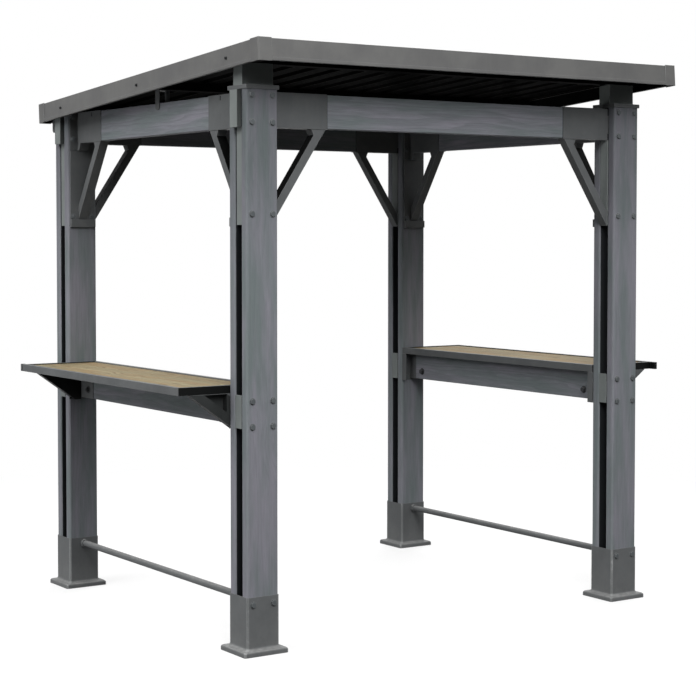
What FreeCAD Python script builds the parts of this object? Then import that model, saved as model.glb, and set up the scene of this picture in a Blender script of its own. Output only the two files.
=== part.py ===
"""Grill gazebo: slotted board posts, sleeved beams, knee braces, bar counters and a single-slope roof.

Millimetres. X runs along the front, Y from front to back, Z up from the ground.
"""
import FreeCAD
import Part
import math
import os
from FreeCAD import Placement, Rotation, Vector

# Posts: two upright boards with an open slot between them
POST_PITCH_X = 1954.0
POST_PITCH_Y = 1663.0
BOARD_WIDTH = 146.0
BOARD_THICKNESS = 46.0
BOARD_EASE = 4.0

# Base sleeves
BASE_HEIGHT = 235.0
BASE_WALL = 2.0
BASE_FLOOR = 5.0
BASE_FIT = 0.2
SKIRT_OVERHANG = 28.0
SKIRT_EDGE = 13.0
SKIRT_ROUND = 8.0
SKIRT_COVE = 12.0
SKIRT_FACETS = 4

# Post caps
CAP_PLATE = 4.0
CAP_OVERHANG = 4.5
CAP_FIT = 0.2
CAP_ROOF_GAP = 2.4
CAP_END_GAP = 2.0

# Beams and the steel sleeves that hold their ends
BEAM_THICKNESS = 44.0
BEAM_HEIGHT = 140.0
BEAM_BOTTOM = 2126.0
BEAM_EASE = 3.0
SLEEVE_WALL = 2.0
SLEEVE_STOP = 6.0
LONG_SLEEVE_REACH = 267.0
SIDE_SLEEVE_REACH = 254.0
TONGUE_HEIGHT = 80.0
TONGUE_WALL = 4.0
END_CAP_MARGIN = 3.0
END_CAP_SIDE = 7.0
END_CAP_PROUD = 20.0
FLANGE_EDGE = 15.0
FLANGE_THICKNESS = 5.0
GUSSET_DROP = 34.0
GUSSET_REACH = 30.0
SIGHT_SLOT_WIDTH = 8.0
SIGHT_SLOT_HEIGHT = 20.0
SIGHT_SLOT_INSET = 156.0
SIGHT_SLOT_DROP = 14.0

# Knee braces, their foot plates and the fillers in the post slots
BRACE_WIDTH = 36.0
BRACE_DEPTH = 45.0
BRACE_LEAN = 33.5
LONG_BRACE_REACH = 260.0
SIDE_BRACE_REACH = 246.0
BRACE_WALL = 3.0
BRACE_HEEL_DROP = 24.0
BRACE_HEEL_REACH = 10.0
FOOT_PLATE = 6.0
FOOT_PLATE_EDGE = 10.0
FOOT_LEDGE_HEIGHT = 36.0
FOOT_LEDGE_PROUD = 10.0
FOOT_PLATE_GAP = 2.0
FILLER_WALL = 4.0
FILLER_RECESS = 9.0
FILLER_BOLT_ROOM = 25.0

# Through bolts and base screws
BOLT_DIAMETER = 10.0
BOLT_CLEARANCE = 0.2
BOLT_HEAD_FLATS = 20.0
BOLT_HEAD_HEIGHT = 7.0
NUT_FLATS = 18.0
NUT_HEIGHT = 8.0
BOLT_EDGE = 25.0
BEAM_BOLT_INSET = 18.0
BRACE_BOLT_RISE = 14.0
COUNTER_BOLT_RISE = 16.0
COUNTER_BOLT_PITCH = 103.0
BASE_SCREW_DROP = 30.0
BASE_SCREW_LENGTH = 30.0

# Slot spacers at counter height
SPACER_BELOW_BOLT = 10.0
SPACER_ABOVE_BOLT = 22.0
SPACER_WALL = 4.0
SPACER_BOLT_ROOM = 18.0

# Counters
COUNTER_TOP = 1082.0
COUNTER_WIDTH = 381.0
COUNTER_END_GAP = 1.0
COUNTER_RAIL_HEIGHT = 33.0
COUNTER_RAIL_WIDTH = 20.0
COUNTER_RAIL_NOSE = 36.0
NOSE_CAP = 22.0
NOSE_GROOVE = 4.0
NOSE_GROOVE_DEPTH = 1.5
COUNTER_CORNER_ROUND = 9.0
COUNTER_BOARD_COUNT = 3
COUNTER_BOARD_THICKNESS = 20.0
COUNTER_BOARD_DROP = 4.0
COUNTER_BOARD_GAP = 2.0
COUNTER_BOARD_FIT = 0.3
CROSS_BAR_COUNT = 4
CROSS_BAR_WIDTH = 36.0

# Counter brackets: post plate, inner flange, apron stub and triangular wing
BRACKET_HEIGHT = 143.0
BRACKET_DEPTH = 35.0
BRACKET_PLATE = 5.0
BRACKET_SHEET = 4.0
WING_SETBACK = 52.0
WING_TIP = 2.0
WING_ROOT = 15.0
WING_BAR = 38.0
WING_FLANGE = 12.0
APRON_THICKNESS = 46.0
APRON_HEIGHT = 134.0
STUB_LENGTH = 52.0
STUB_WALL = 4.0
CHEEK_OVERLAP = 105.0
CHEEK_SHEET = 4.0
APRON_BOLT_INSET = 58.0
APRON_BOLT_RISE = 42.0

# Foot rails
FOOT_RAIL_DIAMETER = 29.0
FOOT_RAIL_DROP = 27.0
COLLAR_DIAMETER = 39.0
COLLAR_LENGTH = 16.0

# Roof
ROOF_SLOPE = 3.98
SIDE_OVERHANG = 53.0
FRONT_OVERHANG = 180.5
BACK_OVERHANG = 66.5
FASCIA_BELOW = 61.0
FASCIA_ABOVE = 25.0
FASCIA_SHEET = 2.5
FASCIA_LEDGE = 12.0
FASCIA_RETURN = 10.0
LIP_HEIGHT = 12.0
LIP_PROUD = 3.5
CORNER_LEG = 60.0
CORNER_SHEET = 3.0
CORNER_ROUND = 8.0
CORNER_REVEAL = 3.0
SHEET_COUNT = 3
RIBS_PER_SHEET = 6
SHEET_THICKNESS = 2.0
SHEET_FIT = 0.3
RIB_HEIGHT = 20.0
RIB_BASE = 56.0
RIB_CROWN = 28.0
PURLIN_WIDTH = 36.0
PURLIN_HEIGHT = 36.0
PURLIN_SHEET = 2.5
PURLIN_SEAT = 0.1
BACK_PURLIN_SETBACK = 38.5

# Roof supports
RISER_DEPTH = 70.0
RISER_TAPER = 3.0
RISER_SHEET = 4.0
SADDLE_SHEET = 4.0
SADDLE_TAB = 30.0
SADDLE_WIDTH = 38.0
HOLD_DOWN_ROOM = 2.5
HOLD_DOWN_DROP = 70.0
HOLD_DOWN_SHEET = 4.0
HOLD_DOWN_GAP = 1.5
HOLD_DOWN_ROUND = 16.0

# Places that follow from the sizes above
SLOT = BEAM_THICKNESS + 2 * SLEEVE_WALL
POST_DEPTH = 2 * BOARD_THICKNESS + SLOT
POST_X = POST_PITCH_X / 2
POST_Y = POST_PITCH_Y / 2
POST_IN_X = POST_X - BOARD_WIDTH / 2
POST_OUT_X = POST_X + BOARD_WIDTH / 2
POST_IN_Y = POST_Y - POST_DEPTH / 2
POST_OUT_Y = POST_Y + POST_DEPTH / 2
BEAM_TOP = BEAM_BOTTOM + BEAM_HEIGHT
BEAM_MIDDLE = BEAM_BOTTOM + BEAM_HEIGHT / 2
SLEEVE_BOTTOM = BEAM_BOTTOM - SLEEVE_WALL
SLEEVE_TOP = BEAM_TOP + SLEEVE_WALL
FLANGE_BOTTOM = SLEEVE_BOTTOM - GUSSET_DROP
END_CAP_BOTTOM = SLEEVE_BOTTOM - END_CAP_MARGIN
END_CAP_TOP = SLEEVE_TOP + END_CAP_MARGIN
LEAN = math.tan(math.radians(BRACE_LEAN))
BRACE_SPAN = BRACE_WIDTH / math.cos(math.radians(BRACE_LEAN))
LONG_FOOT = SLEEVE_BOTTOM - LONG_BRACE_REACH / LEAN
SIDE_FOOT = SLEEVE_BOTTOM - (SIDE_BRACE_REACH - FOOT_PLATE) / LEAN
COUNTER_UNDER = COUNTER_TOP - COUNTER_RAIL_HEIGHT
COUNTER_OUT_X = POST_IN_X + COUNTER_WIDTH
COUNTER_END_Y = POST_IN_Y - COUNTER_END_GAP
BRACKET_BOTTOM = COUNTER_UNDER - BRACKET_HEIGHT
APRON_IN_X = POST_X - APRON_THICKNESS / 2
APRON_OUT_X = POST_X + APRON_THICKNESS / 2
APRON_BOTTOM = COUNTER_UNDER - APRON_HEIGHT
APRON_END_Y = POST_IN_Y - BRACKET_PLATE - STUB_LENGTH

# Bolt places
BOLT_SPREAD = BOARD_WIDTH / 2 - BOLT_EDGE
BOLT_OFFSETS = (-BOLT_SPREAD, BOLT_SPREAD)
BEAM_BOLT_HIGH = SLEEVE_TOP - BEAM_BOLT_INSET
BEAM_BOLT_LOW = SLEEVE_BOTTOM + BEAM_BOLT_INSET
BRACE_BOLT_LEVEL = SIDE_FOOT + BRACE_BOLT_RISE
COUNTER_BOLT_LOW = BRACKET_BOTTOM + COUNTER_BOLT_RISE
COUNTER_BOLT_HIGH = COUNTER_BOLT_LOW + COUNTER_BOLT_PITCH
BASE_SCREW_LEVEL = BASE_HEIGHT - BASE_SCREW_DROP

# Roof plane: the back purlin rests on the side sleeves, and the post caps stay just under the sheets
SLOPE = math.radians(ROOF_SLOPE)
ROOF_WIDTH = 2 * (POST_OUT_X + SIDE_OVERHANG)
ROOF_LENGTH = (2 * POST_OUT_Y + FRONT_OVERHANG + BACK_OVERHANG) / math.cos(SLOPE)
ROOF_CENTRE_Y = (BACK_OVERHANG - FRONT_OVERHANG) / 2
FRONT_PURLIN = (-POST_Y - ROOF_CENTRE_Y) / math.cos(SLOPE)
BACK_PURLIN = (POST_IN_Y - BACK_PURLIN_SETBACK - ROOF_CENTRE_Y) / math.cos(SLOPE)
MIDDLE_PURLIN = (FRONT_PURLIN + BACK_PURLIN) / 2
BACK_PURLIN_EDGE = BACK_PURLIN + PURLIN_WIDTH / 2
PURLIN_RISE = PURLIN_HEIGHT * math.cos(SLOPE) + BACK_PURLIN_EDGE * math.sin(SLOPE)
ROOF_LEVEL = SLEEVE_TOP + PURLIN_SEAT + PURLIN_RISE
CAP_BACK_Y = POST_OUT_Y + CAP_OVERHANG
CAP_TOP = ROOF_LEVEL - (CAP_BACK_Y - ROOF_CENTRE_Y) * math.tan(SLOPE) - CAP_ROOF_GAP
CAP_BOTTOM = END_CAP_TOP + CAP_END_GAP
POST_TOP = CAP_TOP - CAP_PLATE

# Each corner is modelled at the right and back, and mirrored to its place
CORNERS = {
    "front_left": (-1, -1),
    "front_right": (1, -1),
    "back_left": (-1, 1),
    "back_right": (1, 1),
}
SIDES = {"left": -1, "right": 1}

pieces = {}


def box(x_range, y_range, z_range):
    """A block between two values on each axis."""
    low = Vector(x_range[0], y_range[0], z_range[0])
    return Part.makeBox(x_range[1] - x_range[0], y_range[1] - y_range[0], z_range[1] - z_range[0], low)


def about(middle, width):
    """The range of a width centred on a value."""
    return (middle - width / 2, middle + width / 2)


def tube(x_range, y_range, z_range, wall, axis):
    """A block bored through along one axis (0, 1 or 2), with a wall on the other sides."""
    ranges = [x_range, y_range, z_range]
    bore = [(low + wall, high - wall) for low, high in ranges]
    bore[axis] = ranges[axis]
    return box(*ranges).cut(box(*bore))


def prism(points, sweep):
    """A closed polygon of 3D points swept along a vector."""
    wire = Part.makePolygon([Vector(*point) for point in points + points[:1]])
    return Part.Face(wire).extrude(Vector(*sweep))


def prism_xz(points, y_range):
    """A polygon of (x, z) points swept along Y."""
    return prism([(x, y_range[0], z) for x, z in points], (0, y_range[1] - y_range[0], 0))


def prism_yz(points, x_range):
    """A polygon of (y, z) points swept along X."""
    return prism([(x_range[0], y, z) for y, z in points], (x_range[1] - x_range[0], 0, 0))


def ease_edges(shape, size, direction):
    """Chamfer every straight edge that runs along a direction."""
    edges = [edge for edge in shape.Edges if runs_along(edge, direction)]
    return shape.makeChamfer(size, edges)


def round_uprights(shape, radius, picked):
    """Fillet the upright edges whose place is picked."""
    edges = [
        edge for edge in shape.Edges
        if runs_along(edge, Vector(0, 0, 1)) and picked(edge.Vertexes[0].Point)
    ]
    return shape.makeFillet(radius, edges)


def round_edges_below(shape, radius, direction, level):
    """Fillet the straight edges along a direction that lie below a level."""
    edges = [
        edge for edge in shape.Edges
        if runs_along(edge, direction) and edge.BoundBox.ZMax < level
    ]
    return shape.makeFillet(radius, edges)


def runs_along(edge, direction):
    """Whether an edge is straight and parallel to a direction."""
    ends = edge.Vertexes
    if len(ends) < 2:
        return False
    span = ends[1].Point - ends[0].Point
    return span.cross(direction).Length < 1e-6 * span.Length


def rod(start, direction, diameter, length):
    """A round bar from a point along a direction."""
    return Part.makeCylinder(diameter / 2, length, start, direction)


def hex_bar(flats, length):
    """A hexagonal bar along Z, standing on the origin."""
    radius = flats / math.sqrt(3)
    corners = [(radius * math.cos(k * math.pi / 3), radius * math.sin(k * math.pi / 3), 0) for k in range(6)]
    return prism(corners, (0, 0, length))


def make_bolt(grip):
    """A bolt along Z with a six-sided shank: its head below the origin, its nut past the grip."""
    shank = hex_bar(BOLT_DIAMETER, grip)
    head = hex_bar(BOLT_HEAD_FLATS, BOLT_HEAD_HEIGHT).translated(Vector(0, 0, -BOLT_HEAD_HEIGHT))
    nut = hex_bar(NUT_FLATS, NUT_HEIGHT).translated(Vector(0, 0, grip))
    return shank.fuse([head, nut]).removeSplitter()


def make_screw(length):
    """A hex-head screw along Z, its head below the origin."""
    head = hex_bar(BOLT_HEAD_FLATS, BOLT_HEAD_HEIGHT).translated(Vector(0, 0, -BOLT_HEAD_HEIGHT))
    return head.fuse(hex_bar(BOLT_DIAMETER, length)).removeSplitter()


def turned(shape, direction, place):
    """A shape made along Z, turned to a direction and moved to a place."""
    return shape.transformed(Placement(place, Rotation(Vector(0, 0, 1), direction)).toMatrix())


def bolt_hole(start, direction, length):
    """The clearance hole of a bolt, from a point along a direction."""
    return turned(hex_bar(BOLT_DIAMETER + 2 * BOLT_CLEARANCE, length), direction, start)


def post_bolt_holes(levels, y_range):
    """Holes along Y through a post at the given levels."""
    length = y_range[1] - y_range[0]
    return [
        bolt_hole(Vector(POST_X + offset, y_range[0], level), Vector(0, 1, 0), length)
        for level in levels
        for offset in BOLT_OFFSETS
    ]


def mirrored(shape, side_x, side_y):
    """A piece of the right back corner, mirrored to another corner."""
    if side_x < 0:
        shape = shape.mirror(Vector(), Vector(1, 0, 0))
    if side_y < 0:
        shape = shape.mirror(Vector(), Vector(0, 1, 0))
    return shape


def add_corners(name, shape):
    """One node for each corner."""
    for corner, sides in CORNERS.items():
        pieces[f"{name}_{corner}"] = mirrored(shape, *sides)


def add_group(name, shapes):
    """One node that holds equal pieces as separate solids."""
    pieces[name] = Part.makeCompound(shapes)


def at_corners(shape):
    """The same piece at all four corners."""
    return [mirrored(shape, *sides) for sides in CORNERS.values()]


# Posts
def post_board(y_range):
    """One rounded post board with its bolt holes."""
    board = box(about(POST_X, BOARD_WIDTH), y_range, (BASE_FLOOR, POST_TOP))
    board = ease_edges(board, BOARD_EASE, Vector(0, 0, 1))
    levels = (BEAM_BOLT_HIGH, BEAM_BOLT_LOW, BRACE_BOLT_LEVEL, COUNTER_BOLT_HIGH, COUNTER_BOLT_LOW)
    return board.cut(post_bolt_holes(levels, y_range))


def base_screw_holes():
    """Blind holes of the base screws, from the outer face of the sleeve inwards."""
    start = POST_OUT_Y + BASE_FIT + BASE_WALL
    depth = BASE_SCREW_LENGTH + BASE_FIT
    return [
        bolt_hole(Vector(POST_X + offset, start, BASE_SCREW_LEVEL), Vector(0, -1, 0), depth)
        for offset in BOLT_OFFSETS
    ]


def build_posts():
    """Outer and inner boards of the four posts."""
    inner = (POST_Y - SLOT / 2 - BOARD_THICKNESS, POST_Y - SLOT / 2)
    outer = (POST_Y + SLOT / 2, POST_Y + SLOT / 2 + BOARD_THICKNESS)
    add_corners("post_inner_board", post_board(inner))
    add_corners("post_outer_board", post_board(outer).cut(base_screw_holes()))


def skirt_outline(half_width):
    """Section of a flared sleeve as (offset, z) points: edge, rounded rim, cove and wall, in short facets."""
    reach = half_width + SKIRT_OVERHANG
    knee = reach - SKIRT_ROUND
    rim = SKIRT_EDGE + SKIRT_ROUND
    turns = [k * math.pi / 2 / SKIRT_FACETS for k in range(SKIRT_FACETS + 1)]
    nose = [
        (knee + SKIRT_ROUND * math.cos(turn), SKIRT_EDGE + SKIRT_ROUND * math.sin(turn))
        for turn in turns
    ]
    cove = [
        (knee - (knee - half_width) * math.sin(turn), rim + SKIRT_COVE * (1 - math.cos(turn)))
        for turn in turns[1:]
    ]
    right = [(reach, 0)] + nose + cove + [(half_width, BASE_HEIGHT)]
    return right + [(-offset, z) for offset, z in right[::-1]]


def flared_block(half_x, half_y):
    """A sleeve block whose skirt flares on all four sides, standing on the origin."""
    span = 2 * (max(half_x, half_y) + SKIRT_OVERHANG)
    along_y = prism_xz(skirt_outline(half_x), about(0, span))
    along_x = prism_xz(skirt_outline(half_y), about(0, span))
    along_x.rotate(Vector(), Vector(0, 0, 1), 90)
    return along_y.common(along_x)


def build_base_sleeves():
    """Sleeves with a floor, a post-sized pocket and a flared skirt."""
    pocket_x = BOARD_WIDTH / 2 + BASE_FIT
    pocket_y = POST_DEPTH / 2 + BASE_FIT
    sleeve = flared_block(pocket_x + BASE_WALL, pocket_y + BASE_WALL)
    pocket = box((-pocket_x, pocket_x), (-pocket_y, pocket_y), (BASE_FLOOR, BASE_HEIGHT))
    sleeve = sleeve.cut(pocket).translated(Vector(POST_X, POST_Y, 0))
    add_corners("base_sleeve", sleeve.cut(base_screw_holes()))


def build_post_caps():
    """Shallow pans over the tops of the posts."""
    half_x = BOARD_WIDTH / 2 + CAP_OVERHANG
    half_y = POST_DEPTH / 2 + CAP_OVERHANG
    cap = box(about(POST_X, 2 * half_x), about(POST_Y, 2 * half_y), (CAP_BOTTOM, CAP_TOP))
    pocket_x = about(POST_X, BOARD_WIDTH + 2 * CAP_FIT)
    pocket_y = about(POST_Y, POST_DEPTH + 2 * CAP_FIT)
    add_group("post_caps", at_corners(cap.cut(box(pocket_x, pocket_y, (CAP_BOTTOM, POST_TOP)))))


def build_slot_blocks():
    """Folded steel in the slots: a filler above each brace foot and a spacer at each counter."""
    post_x = (POST_IN_X, POST_OUT_X)
    slot_y = about(POST_Y, SLOT)
    filler_x = (POST_IN_X, POST_OUT_X - FILLER_RECESS)
    filler = tube(filler_x, slot_y, (LONG_FOOT, SLEEVE_BOTTOM), FILLER_WALL, 2)
    window_x = (filler_x[0] + FILLER_WALL, filler_x[1] - FILLER_WALL)
    filler = filler.cut(box(window_x, slot_y, (LONG_FOOT, BRACE_BOLT_LEVEL + FILLER_BOLT_ROOM)))
    spacer_z = (COUNTER_BOLT_LOW - SPACER_BELOW_BOLT, COUNTER_BOLT_HIGH + SPACER_ABOVE_BOLT)
    spacer = tube(post_x, slot_y, spacer_z, SPACER_WALL, 2)
    window_x = (POST_IN_X + SPACER_WALL, POST_OUT_X - SPACER_WALL)
    lower = box(window_x, slot_y, (spacer_z[0], COUNTER_BOLT_LOW + SPACER_BOLT_ROOM))
    upper = box(window_x, slot_y, (COUNTER_BOLT_HIGH - SPACER_BOLT_ROOM, spacer_z[1]))
    add_group("slot_blocks", at_corners(filler) + at_corners(spacer.cut([lower, upper])))


# Beams and braces
def build_beams():
    """Front and back beams between the long sleeves, side beams between the side sleeves."""
    beam_z = (BEAM_BOTTOM, BEAM_TOP)
    long_end = POST_IN_X - SLEEVE_STOP
    long_beam = box((-long_end, long_end), about(POST_Y, BEAM_THICKNESS), beam_z)
    long_beam = ease_edges(long_beam, BEAM_EASE, Vector(1, 0, 0))
    pieces["beam_back"] = long_beam
    pieces["beam_front"] = mirrored(long_beam, 1, -1)
    side_end = POST_IN_Y - FLANGE_THICKNESS - SLEEVE_STOP
    side_beam = box(about(POST_X, BEAM_THICKNESS), (-side_end, side_end), beam_z)
    side_beam = ease_edges(side_beam, BEAM_EASE, Vector(0, 1, 0))
    pieces["beam_right"] = side_beam
    pieces["beam_left"] = mirrored(side_beam, -1, 1)


def build_long_sleeves():
    """Sleeves on the front and back beams, each with a tongue through the slot and an end cap outside."""
    sleeve_x = (POST_IN_X - LONG_SLEEVE_REACH, POST_IN_X)
    sleeve = box(sleeve_x, about(POST_Y, SLOT), (SLEEVE_BOTTOM, SLEEVE_TOP))
    socket_x = (sleeve_x[0], POST_IN_X - SLEEVE_STOP)
    socket = box(socket_x, about(POST_Y, BEAM_THICKNESS), (BEAM_BOTTOM, BEAM_TOP))
    tongue_z = about(BEAM_MIDDLE, TONGUE_HEIGHT)
    tongue = tube((POST_IN_X, POST_OUT_X), about(POST_Y, SLOT), tongue_z, TONGUE_WALL, 0)
    add_corners("long_sleeve", sleeve.cut(socket).fuse(tongue).removeSplitter())
    cap_x = (POST_OUT_X, POST_OUT_X + END_CAP_PROUD)
    cap = box(cap_x, about(POST_Y, SLOT + 2 * END_CAP_SIDE), (END_CAP_BOTTOM, END_CAP_TOP))
    add_group("tongue_end_caps", at_corners(cap))


def build_side_sleeves():
    """Sleeves on the side beams, each with a sight slot, a bolted flange on the post and a gusset below."""
    root_y = POST_IN_Y - FLANGE_THICKNESS
    sleeve_y = (POST_IN_Y - SIDE_SLEEVE_REACH, root_y)
    sleeve = box(about(POST_X, SLOT), sleeve_y, (SLEEVE_BOTTOM, SLEEVE_TOP))
    socket = box(about(POST_X, BEAM_THICKNESS), (sleeve_y[0], root_y - SLEEVE_STOP), (BEAM_BOTTOM, BEAM_TOP))
    flange_x = about(POST_X, 2 * (BOLT_SPREAD + FLANGE_EDGE))
    flange = box(flange_x, (root_y, POST_IN_Y), (FLANGE_BOTTOM, SLEEVE_TOP))
    flange = flange.cut(post_bolt_holes((BEAM_BOLT_HIGH, BEAM_BOLT_LOW), (root_y, POST_IN_Y)))
    gusset = prism_yz(
        [
            (root_y, SLEEVE_BOTTOM),
            (root_y - GUSSET_REACH, SLEEVE_BOTTOM),
            (root_y - GUSSET_REACH / 2, FLANGE_BOTTOM),
            (root_y, FLANGE_BOTTOM),
        ],
        about(POST_X, SLOT),
    )
    wall_x = (POST_X + BEAM_THICKNESS / 2, POST_X + SLOT / 2)
    slot_y = about(POST_IN_Y - SIGHT_SLOT_INSET, SIGHT_SLOT_WIDTH)
    sight_slot = box(wall_x, slot_y, about(SLEEVE_TOP - SIGHT_SLOT_DROP, SIGHT_SLOT_HEIGHT))
    sleeve = sleeve.cut([socket, sight_slot])
    add_corners("side_sleeve", sleeve.fuse([flange, gusset]).removeSplitter())


def brace_section(reach, wall):
    """The sloping part of a knee brace as (distance from its post face, z), drawn in by a wall."""
    inset = wall / math.cos(math.radians(BRACE_LEAN))
    low_edge = reach - inset
    high_edge = reach - BRACE_SPAN + inset
    return [
        (low_edge, SLEEVE_BOTTOM),
        (0, SLEEVE_BOTTOM - low_edge / LEAN),
        (0, SLEEVE_BOTTOM - high_edge / LEAN),
        (high_edge, SLEEVE_BOTTOM),
    ]


def brace_heel(reach):
    """The small heel that spreads the top of a brace along the sleeve."""
    top_edge = reach - BRACE_SPAN
    heel_edge = top_edge - BRACE_HEEL_DROP * LEAN
    return [
        (top_edge, SLEEVE_BOTTOM),
        (heel_edge, SLEEVE_BOTTOM - BRACE_HEEL_DROP),
        (heel_edge - BRACE_HEEL_REACH, SLEEVE_BOTTOM),
    ]


def knee_brace(reach):
    """A hollow knee brace in the XZ plane, with its post face at the origin and its beam towards +X."""
    body = prism_xz(brace_section(reach, 0), about(0, BRACE_DEPTH))
    bore = prism_xz(brace_section(reach, BRACE_WALL), about(0, BRACE_DEPTH - 2 * BRACE_WALL))
    heel = prism_xz(brace_heel(reach), about(0, BRACE_DEPTH))
    return body.cut(bore).fuse(heel).removeSplitter()


def build_braces():
    """Knee braces under the long and the side sleeves, and the foot plates of the side braces."""
    long_brace = knee_brace(LONG_BRACE_REACH).mirror(Vector(), Vector(1, 0, 0))
    add_corners("long_brace", long_brace.translated(Vector(POST_IN_X, POST_Y, 0)))
    face_y = POST_IN_Y - FOOT_PLATE
    side_brace = knee_brace(SIDE_BRACE_REACH - FOOT_PLATE)
    side_brace.rotate(Vector(), Vector(0, 0, 1), -90)
    add_corners("side_brace", side_brace.translated(Vector(POST_X, face_y, 0)))
    plate_z = (SIDE_FOOT - FOOT_LEDGE_HEIGHT, FLANGE_BOTTOM - FOOT_PLATE_GAP)
    plate_x = about(POST_X, BOARD_WIDTH - 2 * FOOT_PLATE_EDGE)
    plate = box(plate_x, (face_y, POST_IN_Y), plate_z)
    ledge = box(plate_x, (face_y - FOOT_LEDGE_PROUD, face_y), (plate_z[0], SIDE_FOOT))
    plate = plate.fuse(ledge).removeSplitter()
    plate = plate.cut(post_bolt_holes((BRACE_BOLT_LEVEL,), (face_y, POST_IN_Y)))
    add_group("brace_foot_plates", at_corners(plate))


# Counters
def build_counter_brackets():
    """Brackets that carry the counters and hold the apron rails."""
    bracket_z = (BRACKET_BOTTOM, COUNTER_UNDER)
    plate_y = (POST_IN_Y - BRACKET_PLATE, POST_IN_Y)
    plate = box((POST_IN_X, POST_OUT_X), plate_y, bracket_z)
    plate = plate.cut(post_bolt_holes((COUNTER_BOLT_LOW, COUNTER_BOLT_HIGH), plate_y))
    front_y = POST_IN_Y - BRACKET_DEPTH
    inner_flange = box((POST_IN_X, POST_IN_X + BRACKET_SHEET), (front_y, POST_IN_Y), bracket_z)
    stub_y = (APRON_END_Y, plate_y[0])
    stub = tube((APRON_IN_X, APRON_OUT_X), stub_y, (APRON_BOTTOM, COUNTER_UNDER), STUB_WALL, 1)
    cheek_y = (APRON_END_Y - CHEEK_OVERLAP, plate_y[0])
    cheek = box((APRON_OUT_X, APRON_OUT_X + CHEEK_SHEET), cheek_y, (APRON_BOTTOM, COUNTER_UNDER))
    cheek = cheek.cut(bolt_hole(apron_bolt_place(), Vector(1, 0, 0), APRON_THICKNESS + CHEEK_SHEET))
    bracket = plate.fuse([inner_flange, stub, cheek] + bracket_wing(front_y))
    add_corners("counter_bracket", bracket.removeSplitter())


def bracket_wing(front_y):
    """The web across the post and the triangular wing beside it, open towards the post."""
    root_x = POST_OUT_X - WING_ROOT
    tip_x = COUNTER_OUT_X - WING_SETBACK
    tip_z = COUNTER_UNDER - WING_TIP
    fall = (tip_z - BRACKET_BOTTOM) / (tip_x - root_x)
    web_x = APRON_OUT_X + CHEEK_SHEET
    web_outline = [
        (web_x, COUNTER_UNDER),
        (web_x, BRACKET_BOTTOM),
        (root_x, BRACKET_BOTTOM),
        (tip_x, tip_z),
        (tip_x, COUNTER_UNDER),
    ]
    web = prism_xz(web_outline, (front_y, front_y + BRACKET_SHEET))
    side_z = BRACKET_BOTTOM + WING_ROOT * fall
    wing = prism_xz(
        [(POST_OUT_X, COUNTER_UNDER), (POST_OUT_X, side_z), (tip_x, tip_z), (tip_x, COUNTER_UNDER)],
        (front_y, POST_IN_Y),
    )
    bar_rise = WING_BAR / math.cos(math.atan(fall))
    window_x = POST_OUT_X + WING_FLANGE
    window_z = side_z + WING_FLANGE * fall + bar_rise
    window_end = window_x + (tip_z - window_z) / fall
    window = prism_xz(
        [(window_x, tip_z), (window_x, window_z), (window_end, tip_z)],
        (front_y + BRACKET_SHEET, POST_IN_Y),
    )
    return [web, wing.cut(window)]


def apron_bolt_place():
    """Where an apron bolt enters the inner face of the apron rail."""
    return Vector(APRON_IN_X, APRON_END_Y - APRON_BOLT_INSET, APRON_BOTTOM + APRON_BOLT_RISE)


def build_aprons():
    """Apron rails between the brackets, under the inner part of the counters."""
    rail = box((APRON_IN_X, APRON_OUT_X), (-APRON_END_Y, APRON_END_Y), (APRON_BOTTOM, COUNTER_UNDER))
    hole = bolt_hole(apron_bolt_place(), Vector(1, 0, 0), APRON_THICKNESS)
    rail = rail.cut([hole, mirrored(hole, 1, -1)])
    for side, side_x in SIDES.items():
        pieces[f"apron_rail_{side}"] = mirrored(rail, side_x, 1)


def rail_nose():
    """The end of an outer counter rail past its frame, with a grooved joint and a rounded cap."""
    tip_y = -COUNTER_END_Y - COUNTER_RAIL_NOSE
    nose_x = (COUNTER_OUT_X - COUNTER_RAIL_WIDTH, COUNTER_OUT_X)
    nose = box(nose_x, (tip_y, -COUNTER_END_Y), (COUNTER_UNDER, COUNTER_TOP))
    nose = round_uprights(nose, COUNTER_CORNER_ROUND, lambda place: place.y < -COUNTER_END_Y)
    groove_y = (tip_y + NOSE_CAP, tip_y + NOSE_CAP + NOSE_GROOVE)
    ring = box(nose_x, groove_y, (COUNTER_UNDER, COUNTER_TOP))
    neck_x = (nose_x[0] + NOSE_GROOVE_DEPTH, nose_x[1] - NOSE_GROOVE_DEPTH)
    neck_z = (COUNTER_UNDER + NOSE_GROOVE_DEPTH, COUNTER_TOP - NOSE_GROOVE_DEPTH)
    return nose.cut(ring.cut(box(neck_x, groove_y, neck_z)))


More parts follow.
